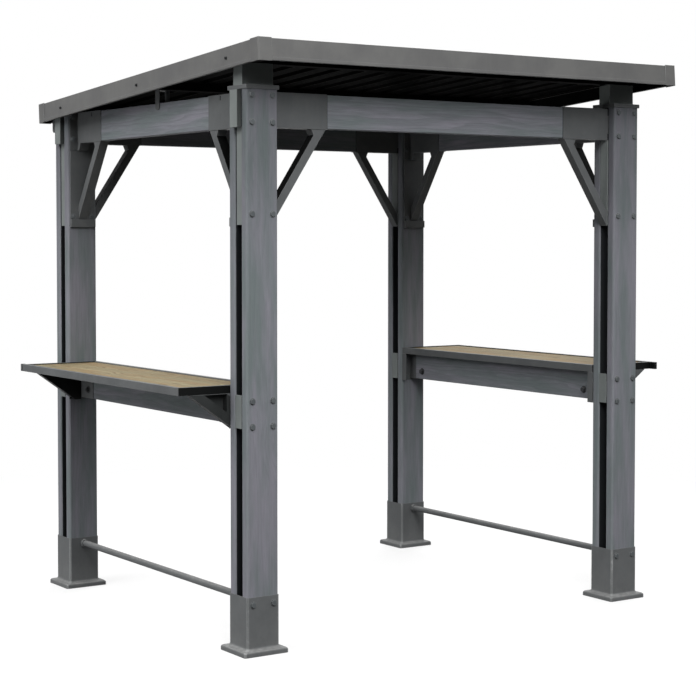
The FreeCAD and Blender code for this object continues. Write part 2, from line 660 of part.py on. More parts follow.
def build_counters():
    """Steel counter frames with cross bars and a long outer rail, and the boards laid in them."""
    frame_z = (COUNTER_UNDER, COUNTER_TOP)
    frame = box((POST_IN_X, COUNTER_OUT_X), (-COUNTER_END_Y, COUNTER_END_Y), frame_z)
    frame = round_uprights(frame, COUNTER_CORNER_ROUND, lambda place: place.x > POST_X and place.y > 0)
    inside_x = (POST_IN_X + COUNTER_RAIL_WIDTH, COUNTER_OUT_X - COUNTER_RAIL_WIDTH)
    inside_y = COUNTER_END_Y - COUNTER_RAIL_WIDTH
    frame = frame.cut(box(inside_x, (-inside_y, inside_y), frame_z))
    board_top = COUNTER_TOP - COUNTER_BOARD_DROP
    board_bottom = board_top - COUNTER_BOARD_THICKNESS
    bar_pitch = (2 * inside_y - CROSS_BAR_WIDTH) / (CROSS_BAR_COUNT - 1)
    bars = [
        box(inside_x, about(-inside_y + CROSS_BAR_WIDTH / 2 + k * bar_pitch, CROSS_BAR_WIDTH),
            (COUNTER_UNDER, board_bottom))
        for k in range(CROSS_BAR_COUNT)
    ]
    frame = frame.fuse(bars + [rail_nose()]).removeSplitter()
    room = inside_x[1] - inside_x[0] - 2 * COUNTER_BOARD_FIT - (COUNTER_BOARD_COUNT - 1) * COUNTER_BOARD_GAP
    board_width = room / COUNTER_BOARD_COUNT
    board_end = inside_y - COUNTER_BOARD_FIT
    boards = []
    for k in range(COUNTER_BOARD_COUNT):
        board_x = inside_x[0] + COUNTER_BOARD_FIT + k * (board_width + COUNTER_BOARD_GAP)
        board_range = (board_x, board_x + board_width)
        boards.append(box(board_range, (-board_end, board_end), (board_bottom, board_top)))
    for side, side_x in SIDES.items():
        pieces[f"counter_frame_{side}"] = mirrored(frame, side_x, side_x)
        add_group(f"counter_boards_{side}", [mirrored(board, side_x, side_x) for board in boards])


def build_foot_rails():
    """Round rails between the base sleeves, with a collar at each end."""
    end_y = POST_IN_Y - BASE_FIT - BASE_WALL
    start = Vector(POST_X, -end_y, BASE_HEIGHT - FOOT_RAIL_DROP)
    rail = rod(start, Vector(0, 1, 0), FOOT_RAIL_DIAMETER, 2 * end_y)
    near = rod(start, Vector(0, 1, 0), COLLAR_DIAMETER, COLLAR_LENGTH)
    rail = rail.fuse([near, mirrored(near, 1, -1)]).removeSplitter()
    for side, side_x in SIDES.items():
        pieces[f"foot_rail_{side}"] = mirrored(rail, side_x, 1)


# Roof, modelled flat: s along the slope from the roof's centre, n up from the underside of the sheets
def roof_placement():
    """The tilt and place of the flat roof on its supports."""
    return Placement(Vector(0, ROOF_CENTRE_Y, ROOF_LEVEL), Rotation(Vector(1, 0, 0), -ROOF_SLOPE))


def on_roof(shape):
    """A piece of the flat roof, tilted into place."""
    return shape.transformed(roof_placement().toMatrix())


def below_sheets(shape, drop):
    """A support cut off at a plane that lies a drop below the roof sheets."""
    span = ROOF_WIDTH + ROOF_LENGTH
    above = box((-span, span), (-span, span), (-drop, span))
    return shape.cut(on_roof(above))


def below_purlins(shape):
    """A support cut off at the plane of the purlins' undersides."""
    return below_sheets(shape, PURLIN_HEIGHT)


def fascia_parts(length, half_depth, inner_cut):
    """Web, ledge, return and lip of a fascia along X, with its outer face at -half_depth."""
    web_y = (-half_depth, -half_depth + FASCIA_SHEET)
    web = box(about(0, length), web_y, (-FASCIA_BELOW, FASCIA_ABOVE))
    ledge_y = (web_y[1], web_y[1] + FASCIA_LEDGE)
    ledge = box(about(0, length - 2 * inner_cut(FASCIA_LEDGE)), ledge_y, (-FASCIA_SHEET, 0))
    return_y = (web_y[1], web_y[1] + FASCIA_RETURN)
    return_z = (-FASCIA_BELOW, -FASCIA_BELOW + FASCIA_SHEET)
    bottom = box(about(0, length - 2 * inner_cut(FASCIA_RETURN)), return_y, return_z)
    return web.fuse([ledge, bottom])


def fascia_lip(length, half_depth):
    """The bead along the lower edge of a fascia, between the corner covers."""
    lip_y = (-half_depth - LIP_PROUD, -half_depth)
    return box(about(0, length - 2 * CORNER_LEG), lip_y, (-FASCIA_BELOW, -FASCIA_BELOW + LIP_HEIGHT))


def build_fascia():
    """Four fascia channels and the covers on their corners."""
    half_x = ROOF_WIDTH / 2
    half_s = ROOF_LENGTH / 2
    front = fascia_parts(ROOF_WIDTH, half_s, lambda shelf: FASCIA_SHEET)
    front = front.fuse(fascia_lip(ROOF_WIDTH, half_s)).removeSplitter()
    side_length = ROOF_LENGTH - 2 * FASCIA_SHEET
    left = fascia_parts(side_length, half_x, lambda shelf: shelf)
    left = left.fuse(fascia_lip(ROOF_LENGTH, half_x)).removeSplitter()
    left.rotate(Vector(), Vector(0, 0, 1), -90)
    pieces["fascia_front"] = on_roof(front)
    pieces["fascia_back"] = on_roof(front.mirror(Vector(), Vector(0, 1, 0)))
    pieces["fascia_left"] = on_roof(left)
    pieces["fascia_right"] = on_roof(left.mirror(Vector(), Vector(1, 0, 0)))
    cover_z = (-FASCIA_BELOW - CORNER_REVEAL, FASCIA_ABOVE + CORNER_REVEAL)
    cover_x = (half_x - CORNER_LEG, half_x + CORNER_SHEET)
    cover_s = (half_s - CORNER_LEG, half_s + CORNER_SHEET)
    cover = box(cover_x, cover_s, cover_z)
    cover = round_uprights(cover, CORNER_ROUND, lambda place: place.x > half_x and place.y > half_s)
    cover = cover.cut(box((half_x - CORNER_LEG, half_x), (half_s - CORNER_LEG, half_s), cover_z))
    add_group("fascia_corners", [on_roof(mirrored(cover, *sides)) for sides in CORNERS.values()])


def sheet_line(width, level):
    """One side of a ribbed sheet as (x, n) points from left to right."""
    pitch = width / RIBS_PER_SHEET
    points = [(0, level)]
    for k in range(RIBS_PER_SHEET):
        middle = (k + 0.5) * pitch
        points.append((middle - RIB_BASE / 2, level))
        points.append((middle - RIB_CROWN / 2, level + RIB_HEIGHT))
        points.append((middle + RIB_CROWN / 2, level + RIB_HEIGHT))
        points.append((middle + RIB_BASE / 2, level))
    points.append((width, level))
    return points


def build_roof_sheets():
    """Ribbed sheets side by side on the purlins and the fascia ledges."""
    inside_x = ROOF_WIDTH / 2 - FASCIA_SHEET - SHEET_FIT
    half_s = ROOF_LENGTH / 2 - FASCIA_SHEET - SHEET_FIT
    width = 2 * inside_x / SHEET_COUNT
    outline = sheet_line(width, 0) + sheet_line(width, SHEET_THICKNESS)[::-1]
    sheet = prism_xz(outline, (-half_s, half_s))
    sheets = [sheet.translated(Vector(-inside_x + k * width, 0, 0)) for k in range(SHEET_COUNT)]
    add_group("roof_sheets", [on_roof(shape) for shape in sheets])


def build_purlins():
    """Three C-section purlins between the ledges of the side fascia."""
    half_x = ROOF_WIDTH / 2 - FASCIA_SHEET - FASCIA_LEDGE
    bar = box((-half_x, half_x), about(0, PURLIN_WIDTH), (-PURLIN_HEIGHT, 0))
    hollow_s = (-PURLIN_WIDTH / 2 + PURLIN_SHEET, PURLIN_WIDTH / 2)
    hollow = box((-half_x, half_x), hollow_s, (-PURLIN_HEIGHT + PURLIN_SHEET, -PURLIN_SHEET))
    section = bar.cut(hollow)
    places = (FRONT_PURLIN, MIDDLE_PURLIN, BACK_PURLIN)
    add_group("roof_purlins", [on_roof(section.translated(Vector(0, place, 0))) for place in places])


def world_y(place, drop):
    """The level Y of a point on the flat roof."""
    return ROOF_CENTRE_Y + place * math.cos(SLOPE) - drop * math.sin(SLOPE)


def riser_block(wall):
    """The tapered block of a front riser, drawn in by a wall and taller than the roof."""
    tall = ROOF_LEVEL + ROOF_LENGTH * math.sin(SLOPE)
    foot = BOARD_WIDTH / 2 - wall
    head = foot - RISER_TAPER
    outline = [
        (POST_X - foot, CAP_TOP),
        (POST_X + foot, CAP_TOP),
        (POST_X + head, tall),
        (POST_X - head, tall),
    ]
    return below_purlins(prism_xz(outline, about(-POST_Y, RISER_DEPTH - 2 * wall)))


def build_front_risers():
    """Hollow risers on the front caps, cut to the slope under the front purlin."""
    hollow = riser_block(RISER_SHEET).translated(Vector(0, 0, -RISER_SHEET))
    riser = riser_block(0).cut(hollow)
    add_group("front_risers", [mirrored(riser, side_x, 1) for side_x in SIDES.values()])


def build_saddles():
    """Saddles astride the side beams, under the middle purlin."""
    saddle_y = about(world_y(MIDDLE_PURLIN, PURLIN_HEIGHT), SADDLE_WIDTH)
    beam_x = about(POST_X, BEAM_THICKNESS)
    outer_x = about(POST_X, BEAM_THICKNESS + 2 * SADDLE_SHEET)
    low = BEAM_TOP - SADDLE_TAB
    saddle = box(outer_x, saddle_y, (low, ROOF_LEVEL))
    saddle = round_edges_below(saddle, SADDLE_WIDTH / 3, Vector(1, 0, 0), BEAM_TOP)
    saddle = below_purlins(saddle.cut(box(beam_x, saddle_y, (low, BEAM_TOP))))
    hollow = below_purlins(box(beam_x, saddle_y, (BEAM_TOP + 2 * SADDLE_SHEET, ROOF_LEVEL)))
    saddle = saddle.cut(hollow.translated(Vector(0, 0, -SADDLE_SHEET)))
    add_group("purlin_saddles", [mirrored(saddle, side_x, 1) for side_x in SIDES.values()])


def build_hold_downs():
    """Channel brackets under the upper bolts of the back posts, reaching up to the roof sheets."""
    middle_x = POST_X + BOLT_SPREAD
    room = 2 * BOLT_HEAD_FLATS / math.sqrt(3) + 2 * HOLD_DOWN_ROOM
    low = BEAM_BOLT_HIGH - HOLD_DOWN_DROP
    step = CAP_BOTTOM - HOLD_DOWN_GAP
    clear_y = CAP_BACK_Y + HOLD_DOWN_GAP
    shelf = FASCIA_SHEET + max(FASCIA_LEDGE, FASCIA_RETURN)
    out_y = world_y(ROOF_LENGTH / 2 - shelf, FASCIA_BELOW) - HOLD_DOWN_GAP
    outline = [
        (POST_OUT_Y, low),
        (POST_OUT_Y, step),
        (clear_y, step),
        (clear_y, ROOF_LEVEL),
        (out_y, ROOF_LEVEL),
        (out_y, low),
    ]
    channel = prism_yz(outline, about(middle_x, room + 2 * HOLD_DOWN_SHEET))
    outer_edge = [
        edge for edge in channel.Edges
        if edge.BoundBox.ZMax < step and edge.BoundBox.YMin > clear_y
    ]
    channel = below_sheets(channel.makeFillet(HOLD_DOWN_ROUND, outer_edge), 0)
    hollow = box(about(middle_x, room), (POST_OUT_Y + HOLD_DOWN_SHEET, out_y), (low, ROOF_LEVEL))
    channel = channel.cut(below_sheets(hollow, HOLD_DOWN_SHEET))
    hole = bolt_hole(Vector(middle_x, POST_OUT_Y, BEAM_BOLT_HIGH), Vector(0, 1, 0), HOLD_DOWN_SHEET)
    channel = channel.cut(hole)
    add_group("roof_hold_downs", [mirrored(channel, side_x, 1) for side_x in SIDES.values()])


# Fasteners
def corner_bolts(packing):
    """The bolts and screws of one corner, with a packing sheet under the head of its upper outer bolt."""
    inward = Vector(0, -1, 0)
    grips = {
        BEAM_BOLT_HIGH: FLANGE_THICKNESS,
        BEAM_BOLT_LOW: FLANGE_THICKNESS,
        BRACE_BOLT_LEVEL: FOOT_PLATE,
        COUNTER_BOLT_HIGH: BRACKET_PLATE,
        COUNTER_BOLT_LOW: BRACKET_PLATE,
    }
    sleeve_face = POST_OUT_Y + BASE_FIT + BASE_WALL
    bolts = []
    for offset in BOLT_OFFSETS:
        x = POST_X + offset
        for level, plate in grips.items():
            sheet = packing if offset > 0 and level == BEAM_BOLT_HIGH else 0
            bolt = make_bolt(POST_DEPTH + plate + sheet)
            bolts.append(turned(bolt, inward, Vector(x, POST_OUT_Y + sheet, level)))
        bolts.append(turned(make_screw(BASE_SCREW_LENGTH), inward, Vector(x, sleeve_face, BASE_SCREW_LEVEL)))
    bolts.append(turned(make_bolt(APRON_THICKNESS + CHEEK_SHEET), Vector(1, 0, 0), apron_bolt_place()))
    return bolts


def build_bolts():
    """All bolts and screws; those of the back posts also hold the roof's hold-downs."""
    bolts = []
    for side_x, side_y in CORNERS.values():
        packing = HOLD_DOWN_SHEET if side_y > 0 else 0
        bolts += [mirrored(bolt, side_x, side_y) for bolt in corner_bolts(packing)]
    add_group("bolts", bolts)


def write_parts():
    """Move the origin to the middle of the base and write one file for each node."""
    whole = Part.makeCompound(list(pieces.values())).BoundBox
    origin = Vector(-whole.Center.x, -whole.Center.y, -whole.ZMin)
    os.makedirs("parts", exist_ok=True)
    for name, shape in pieces.items():
        shape.translated(origin).exportStep(f"parts/{name}.step")


build_posts()
build_base_sleeves()
build_post_caps()
build_slot_blocks()
build_beams()
build_long_sleeves()
build_side_sleeves()
build_braces()
build_counter_brackets()
build_aprons()
build_counters()
build_foot_rails()
build_fascia()
build_roof_sheets()
build_purlins()
build_front_risers()
build_saddles()
build_hold_downs()
build_bolts()
write_parts()
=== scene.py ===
"""Looks of a grill gazebo: grey stained boards, coated steel, tan counters and a dark ribbed roof.

Metres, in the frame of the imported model: X along the front, Y from front to back, Z up.
"""

import logging
import math
from dataclasses import dataclass, replace
from enum import Enum
from functools import lru_cache
from typing import Callable, Iterator, Optional, Sequence, Union

import bmesh
import bpy
from mathutils import Matrix, Vector


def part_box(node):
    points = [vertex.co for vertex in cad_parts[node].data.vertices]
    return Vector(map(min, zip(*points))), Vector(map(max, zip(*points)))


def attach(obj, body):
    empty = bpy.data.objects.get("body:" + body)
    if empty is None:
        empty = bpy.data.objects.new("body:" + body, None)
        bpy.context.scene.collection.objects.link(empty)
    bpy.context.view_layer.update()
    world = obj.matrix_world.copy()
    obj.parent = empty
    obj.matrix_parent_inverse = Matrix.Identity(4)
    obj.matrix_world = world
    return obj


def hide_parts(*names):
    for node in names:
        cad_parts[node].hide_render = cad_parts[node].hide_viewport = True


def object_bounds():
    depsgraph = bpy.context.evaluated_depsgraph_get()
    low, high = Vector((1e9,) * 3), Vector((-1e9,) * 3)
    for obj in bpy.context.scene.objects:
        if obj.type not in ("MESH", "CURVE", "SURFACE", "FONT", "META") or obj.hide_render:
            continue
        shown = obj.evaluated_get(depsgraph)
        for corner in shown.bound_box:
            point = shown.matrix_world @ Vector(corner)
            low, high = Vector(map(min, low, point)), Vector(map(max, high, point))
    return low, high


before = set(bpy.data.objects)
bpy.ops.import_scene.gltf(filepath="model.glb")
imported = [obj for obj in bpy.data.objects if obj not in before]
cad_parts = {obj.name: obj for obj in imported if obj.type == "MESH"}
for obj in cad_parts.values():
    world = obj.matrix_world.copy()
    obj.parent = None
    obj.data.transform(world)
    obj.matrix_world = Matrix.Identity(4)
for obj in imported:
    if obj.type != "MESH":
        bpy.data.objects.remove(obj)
CAD_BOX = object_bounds()

LOG = logging.getLogger("grill_gazebo")

Span = tuple[float, float]
Triple = tuple[float, float, float]
Steps = tuple[int, int, int]
Colour = tuple[float, float, float, float]
Tree = bpy.types.NodeTree
Node = bpy.types.Node
Socket = bpy.types.NodeSocket
Material = bpy.types.Material
Edge = bmesh.types.BMEdge
Face = bmesh.types.BMFace
Feed = Union[Socket, float, Sequence[float]]
EdgeTest = Callable[[Edge], bool]
FaceTest = Callable[[Face], bool]

ENDS = ("front", "back")
# Marks the faces of rounded edges, which take edge wear and a painted highlight.
EDGE_MARK = "eased_edge_mark"
# Marks faces with painted shade.
SHADED = "shaded_face"
WELD_DISTANCE = 1e-5
SAME_PLACE = 1e-6
FLAT_ANGLE = math.radians(1.0)
CREASE_ANGLE = math.radians(25.0)
SMOOTH_ANGLE = math.radians(38.0)
PARALLEL = 0.99
FACING = 0.9
HEX = 6
WHITE = (1.0, 1.0, 1.0, 1.0)
DISPLAY_STEPS = 255
DISPLAY_TOE, TOE_SLOPE = 0.04045, 12.92
DISPLAY_OFFSET, DISPLAY_GAMMA = 0.055, 2.4
MIX_SHARE, MIX_FIRST, MIX_SECOND, MIX_RESULT = 0, 6, 7, 2


class Axis(Enum):
    """A direction of the frame."""

    X = 0
    Y = 1
    Z = 2

    @property
    def vector(self) -> Vector:
        """The unit vector of this direction."""
        return Vector([float(k == self.value) for k in range(3)])


class Corner(Enum):
    """A corner of the gazebo, as the model's nodes spell it."""

    FRONT_LEFT = "front_left"
    FRONT_RIGHT = "front_right"
    BACK_LEFT = "back_left"
    BACK_RIGHT = "back_right"


class Side(Enum):
    """The left or right side, as the sign of its X."""

    LEFT = -1
    RIGHT = 1

    @property
    def label(self) -> str:
        """The side's name as the model's nodes spell it."""
        return self.name.lower()


class Layer(Enum):
    """The two boards of a post, as the model's nodes spell them."""

    INNER = "inner"
    OUTER = "outer"


def srgb(*steps: int) -> Colour:
    """Turn a colour written in 0 to 255 display steps into linear light.

    Args:
        steps: Red, green and blue.

    Returns:
        The colour that Blender's shaders take.
    """
    shares = [step / DISPLAY_STEPS for step in steps]
    red, green, blue = (
        share / TOE_SLOPE
        if share <= DISPLAY_TOE
        else ((share + DISPLAY_OFFSET) / (1 + DISPLAY_OFFSET)) ** DISPLAY_GAMMA
        for share in shares
    )
    return (red, green, blue, 1.0)


class Wiring:
    """Adds nodes to one tree and wires each as it is added."""

    def __init__(self, tree: Tree) -> None:
        """Keep the tree that the nodes go into."""
        self.tree = tree

    def add(self, kind: str, feeds: Optional[dict] = None, **settings: object) -> Node:
        """Add one shader node.

        Args:
            kind: The node's type without its common prefix.
            feeds: Values or sockets for its inputs, by name or number.
            settings: The node's own properties.

        Returns:
            The new node.
        """
        node = self.tree.nodes.new("ShaderNode" + kind)
        for name, value in settings.items():
            setattr(node, name, value)
        for key, value in (feeds or {}).items():
            self.feed(node.inputs[key], value)
        return node

    def feed(self, socket: Socket, value: Feed) -> None:
        """Wire an input, or set its plain value.

        Args:
            socket: The input.
            value: A plain value, or the output that feeds it.
        """
        if isinstance(value, Socket):
            self.tree.links.new(value, socket)
        else:
            socket.default_value = value

    def math(self, operation: str, *terms: Feed) -> Socket:
        """Combine values with one math step."""
        return self.add("Math", dict(enumerate(terms)), operation=operation).outputs[0]

    def times(self, first: Feed, second: Feed) -> Socket:
        """Multiply two values."""
        return self.math("MULTIPLY", first, second)

    def weigh(self, value: Feed, weight: float, base: Feed) -> Socket:
        """Add a weighed value to a base."""
        return self.math("MULTIPLY_ADD", value, weight, base)

    def at_least(self, value: Feed, least: float) -> Socket:
        """Squeeze a value from 0 to 1, so that it starts at its least."""
        return self.weigh(value, 1.0 - least, least)

    def blend(self, share: Feed, first: Feed, second: Feed, mode: str = "MIX") -> Socket:
        """Mix two colours, by the share of the second."""
        feeds = {MIX_SHARE: share, MIX_FIRST: first, MIX_SECOND: second}
        return self.add("Mix", feeds, data_type="RGBA", blend_type=mode).outputs[MIX_RESULT]

    def layer(self, base: Feed, *coats: tuple[Feed, Feed]) -> Feed:
        """Lay colours over a base in turn.

        Args:
            base: The colour under them all.
            coats: Pairs of a share and a colour.

        Returns:
            The colour that shows.
        """
        for share, colour in coats:
            base = self.blend(share, base, colour)
        return base

    def ease(
        self, value: Feed, start: Feed, end: Feed, low: Feed = 0.0, high: Feed = 1.0
    ) -> Socket:
        """Ease a value from one range into another.

        Args:
            value: The value to ease.
            start: Where the result is low.
            end: Where the result is high.
            low: The result at the start.
            high: The result at the end.

        Returns:
            The eased value.
        """
        feeds = {"Value": value, "From Min": start, "From Max": end, "To Min": low, "To Max": high}
        return self.add("MapRange", feeds, interpolation_type="SMOOTHSTEP").outputs[0]

    def stretch(self, place: Feed, scale: Triple) -> Socket:
        """Scale a place."""
        return self.add("Mapping", {"Vector": place, "Scale": scale}).outputs[0]

    def noise(
        self, place: Feed, scale: float = 1.0, detail: float = 2.0, roughness: float = 0.5
    ) -> Socket:
        """Soft noise from 0 to 1 at a place."""
        feeds = {"Vector": place, "Scale": scale, "Detail": detail, "Roughness": roughness}
        return self.add("TexNoise", feeds).outputs["Fac"]

    def group(self, tree: Tree, feeds: dict) -> bpy.types.NodeOutputs:
        """The outputs of a shared effect, placed with its own values."""
        return self.add("Group", feeds, node_tree=tree).outputs

    def mark(self, name: str) -> Socket:
        """How strongly the surface carries one of its marks."""
        return self.add("Attribute", attribute_name=name).outputs["Fac"]

    def object_place(self) -> Socket:
        """The surface's place in the frame, in metres."""
        return self.add("TexCoord").outputs["Object"]

    def height_of(self, vector: Socket) -> Socket:
        """The upward part of a vector."""
        return self.add("SeparateXYZ", {0: vector}).outputs["Z"]

    def cover(self, skin: dict[str, Feed], sheen: float, bump: dict[str, Feed]) -> None:
        """Give a material its shader.

        Args:
            skin: What changes over the surface, by the shader's inputs.
            sheen: The strength of its mirroring.
            bump: Its fine relief.
        """
        normal = self.add("Bump", bump).outputs[0]
        shader = self.add("BsdfPrincipled", skin | {"Normal": normal, "Specular IOR Level": sheen})
        self.add("OutputMaterial", {"Surface": shader.outputs["BSDF"]})

    def seen(self) -> Socket:
        """Tell what the camera sees, in a mirror or through glass too, from what only lights.

        Returns:
            One for what is seen, and zero for light.
        """
        path = self.add("LightPath").outputs
        mirrored = self.math("MAXIMUM", path["Is Glossy Ray"], path["Is Transmission Ray"])
        return self.math("MAXIMUM", path["Is Camera Ray"], mirrored)

    def along_grain(self, axis: Axis) -> Socket:
        """The surface's place with one direction of the frame turned to X.

        Args:
            axis: The direction that the grain runs in.

        Returns:
            The turned place.
        """
        parts = self.add("SeparateXYZ", {0: self.object_place()}).outputs
        order = [axis.value] + [k for k in range(3) if k != axis.value]
        return self.add("CombineXYZ", {k: parts[part] for k, part in enumerate(order)}).outputs[0]


def new_effect(name: str, **given: str) -> tuple[Wiring, dict[str, Socket]]:
    """Start a shared node group.

    Args:
        name: The group's name.
        given: Its inputs, each with Vector or Float.

    Returns:
        The group's wiring, and its inputs as sources.
    """
    tree = bpy.data.node_groups.new(name, "ShaderNodeTree")
    for label, kind in given.items():
        tree.interface.new_socket(label, in_out="INPUT", socket_type="NodeSocket" + kind)
    start = tree.nodes.new("NodeGroupInput")
    return Wiring(tree), {label: start.outputs[label] for label in given}


def end_effect(wires: Wiring, **made: Socket) -> Tree:
    """Give a shared node group its outputs.

    Args:
        wires: The group's wiring.
        made: The values that it puts out.

    Returns:
        The group.
    """
    for label in made:
        wires.tree.interface.new_socket(label, in_out="OUTPUT", socket_type="NodeSocketFloat")
    end = wires.tree.nodes.new("NodeGroupOutput")
    for label, value in made.items():
        wires.feed(end.inputs[label], value)
    return wires.tree


@dataclass(frozen=True)
class TimberPattern:
    """Sizes in a board's figure: repeats per metre along and across, and masks' starts and ends."""

    knots: Triple = (2.6, 5.2, 5.2)
    heart: Span = (0.085, 0.03)
    pull: Span = (0.42, 0.02)
    drift: Triple = (0.55, 6.5, 6.5)
    wander: Triple = (3.0, 30.0, 30.0)
    sawn: Triple = (0.0, 0.86, 0.51)
    drift_rings: float = 9.0
    wander_rings: float = 2.6
    pull_rings: float = 2.4
    late_rise: Span = (0.25, 0.9)
    late_fall: Span = (1.0, 0.93)
    fibre: Triple = (14.0, 520.0, 520.0)
    pores: Triple = (24.0, 900.0, 900.0)
    pore_mask: Span = (0.6, 0.72)
    patches: Triple = (2.4, 17.0, 17.0)
    patch_mask: Span = (0.3, 0.7)


@lru_cache(maxsize=None)
def timber_figure() -> Tree:
    """Growth lines, fibres, pores, knots and stain patches of a board with its grain along X.

    Returns:
        The effect as a node group.
    """
    size = TimberPattern()
    wires, start = new_effect("timber_figure", Place="Vector", RingWidth="Float", KnotShare="Float")
    place = start["Place"]
    knots = wires.add("TexVoronoi", {"Vector": wires.stretch(place, size.knots), "Scale": 1.0})
    lot = wires.add("SeparateColor", {0: knots.outputs["Color"]}).outputs[0]
    kept = wires.math("LESS_THAN", lot, start["KnotShare"])
    heart = wires.times(wires.ease(knots.outputs["Distance"], *size.heart), kept)
    pull = wires.times(wires.ease(knots.outputs["Distance"], *size.pull), kept)
    drift = wires.noise(wires.stretch(place, size.drift))
    wander = wires.noise(wires.stretch(place, size.wander), detail=1.0)
    across = wires.add("VectorMath", {0: place, 1: size.sawn}, operation="DOT_PRODUCT")
    rings = wires.math("DIVIDE", across.outputs["Value"], start["RingWidth"])
    rings = wires.weigh(drift, size.drift_rings, rings)
    rings = wires.weigh(wander, size.wander_rings, rings)
    rings = wires.weigh(pull, size.pull_rings, rings)
    tooth = wires.math("FRACT", rings)
    late = wires.times(wires.ease(tooth, *size.late_rise), wires.ease(tooth, *size.late_fall))
    fibre = wires.noise(wires.stretch(place, size.fibre), detail=3.0, roughness=0.6)
    pores = wires.noise(wires.stretch(place, size.pores), detail=1.0)
    patches = wires.noise(wires.stretch(place, size.patches), detail=3.0, roughness=0.55)
    return end_effect(
        wires,
        Lines=late,
        Fibre=fibre,
        Pores=wires.ease(pores, *size.pore_mask),
        Knots=heart,
        Patches=wires.ease(patches, *size.patch_mask),
    )


@dataclass(frozen=True)
class CoatPattern:
    """Sizes in wear with its painted edge highlight, dust with its painted top light, and skin:
    noises (repeats per metre, detail, roughness) and masks.
    """

    broken: Triple = (38.0, 4.0, 0.65)
    broken_mask: Span = (0.48, 0.68)
    sparse: Triple = (5.0, 2.0, 0.5)
    sparse_mask: Span = (0.35, 0.65)
    # Each edge mask keeps at least this share, which paints an even highlight along every rounded
    # edge beside the broken wear.
    least_rub: float = 0.5
    upward_mask: Span = (0.25, 0.95)
    ragged_stretch: Triple = (9.0, 9.0, 4.0)
    ragged: Triple = (1.0, 4.0, 0.6)
    ragged_drop: float = -0.16
    splash_mask: Span = (0.08, -0.06)
    splash: float = 0.2
    speckle: Triple = (55.0, 5.0, 0.7)
    speckle_mask: Span = (0.3, 0.75)
    least_speckle: float = 0.4
    peel: Triple = (620.0, 2.0, 0.55)
    clouds: Triple = (6.5, 4.0, 0.6)
    cloud_mask: Span = (0.3, 0.7)
    wipe_stretch: Triple = (70.0, 70.0, 7.0)
    wipes: Triple = (1.0, 3.0, 0.6)
    wipe_mask: Span = (0.35, 0.75)


@lru_cache(maxsize=None)
def edge_wear() -> Tree:
    """Where a finish is rubbed off, in broken patches along the rounded edges, over an even painted
    highlight along all of them.

    Returns:
        The effect as a node group.
    """
    size = CoatPattern()
    wires, start = new_effect("edge_wear", Place="Vector", Amount="Float")
    broken = wires.ease(wires.noise(start["Place"], *size.broken), *size.broken_mask)
    sparse = wires.ease(wires.noise(start["Place"], *size.sparse), *size.sparse_mask)
    # The masks' floor paints a highlight along every rounded edge; the broken patches are wear.
    edge = wires.times(wires.mark(EDGE_MARK), wires.at_least(broken, size.least_rub))
    edge = wires.times(edge, wires.at_least(sparse, size.least_rub))
    return end_effect(wires, Rubbed=wires.times(edge, start["Amount"]))


@lru_cache(maxsize=None)
def settled_dust() -> Tree:
    """Dust on faces that look up, partly painted light on their tops, and faint splashes just above
    the ground.

    Returns:
        The effect as a node group.
    """
    size = CoatPattern()
    wires, start = new_effect("settled_dust", Place="Vector", Amount="Float")
    normal = wires.add("NewGeometry").outputs["Normal"]
    upward = wires.ease(wires.height_of(normal), *size.upward_mask)
    ragged = wires.noise(wires.stretch(start["Place"], size.ragged_stretch), *size.ragged)
    height = wires.weigh(ragged, size.ragged_drop, wires.height_of(start["Place"]))
    splash = wires.times(wires.ease(height, *size.splash_mask), size.splash)
    speckle = wires.ease(wires.noise(start["Place"], *size.speckle), *size.speckle_mask)
    cover = wires.math("MAXIMUM", upward, splash)
    soft = wires.times(cover, wires.at_least(speckle, size.least_speckle))
    return end_effect(wires, Dust=wires.times(soft, start["Amount"]))


@lru_cache(maxsize=None)
def coat_skin() -> Tree:
    """The skin of a baked powder coat: its orange peel, cloudy tone and faint wiping marks.

    Returns:
        The effect as a node group.
    """
    size = CoatPattern()
    wires, start = new_effect("coat_skin", Place="Vector")
    place = start["Place"]
    wipes = wires.noise(wires.stretch(place, size.wipe_stretch), *size.wipes)
    return end_effect(
        wires,
        Peel=wires.noise(place, *size.peel),
        Clouds=wires.ease(wires.noise(place, *size.clouds), *size.cloud_mask),
        Wipes=wires.ease(wipes, *size.wipe_mask),
    )


def new_material(name: str) -> tuple[Material, Wiring]:
    """Start a material.

    Args:
        name: The material's name.

    Returns:
        The material and its wiring, both empty.
    """
    material = bpy.data.materials.new(name)
    material.use_nodes = True
    material.node_tree.nodes.clear()
    return material, Wiring(material.node_tree)


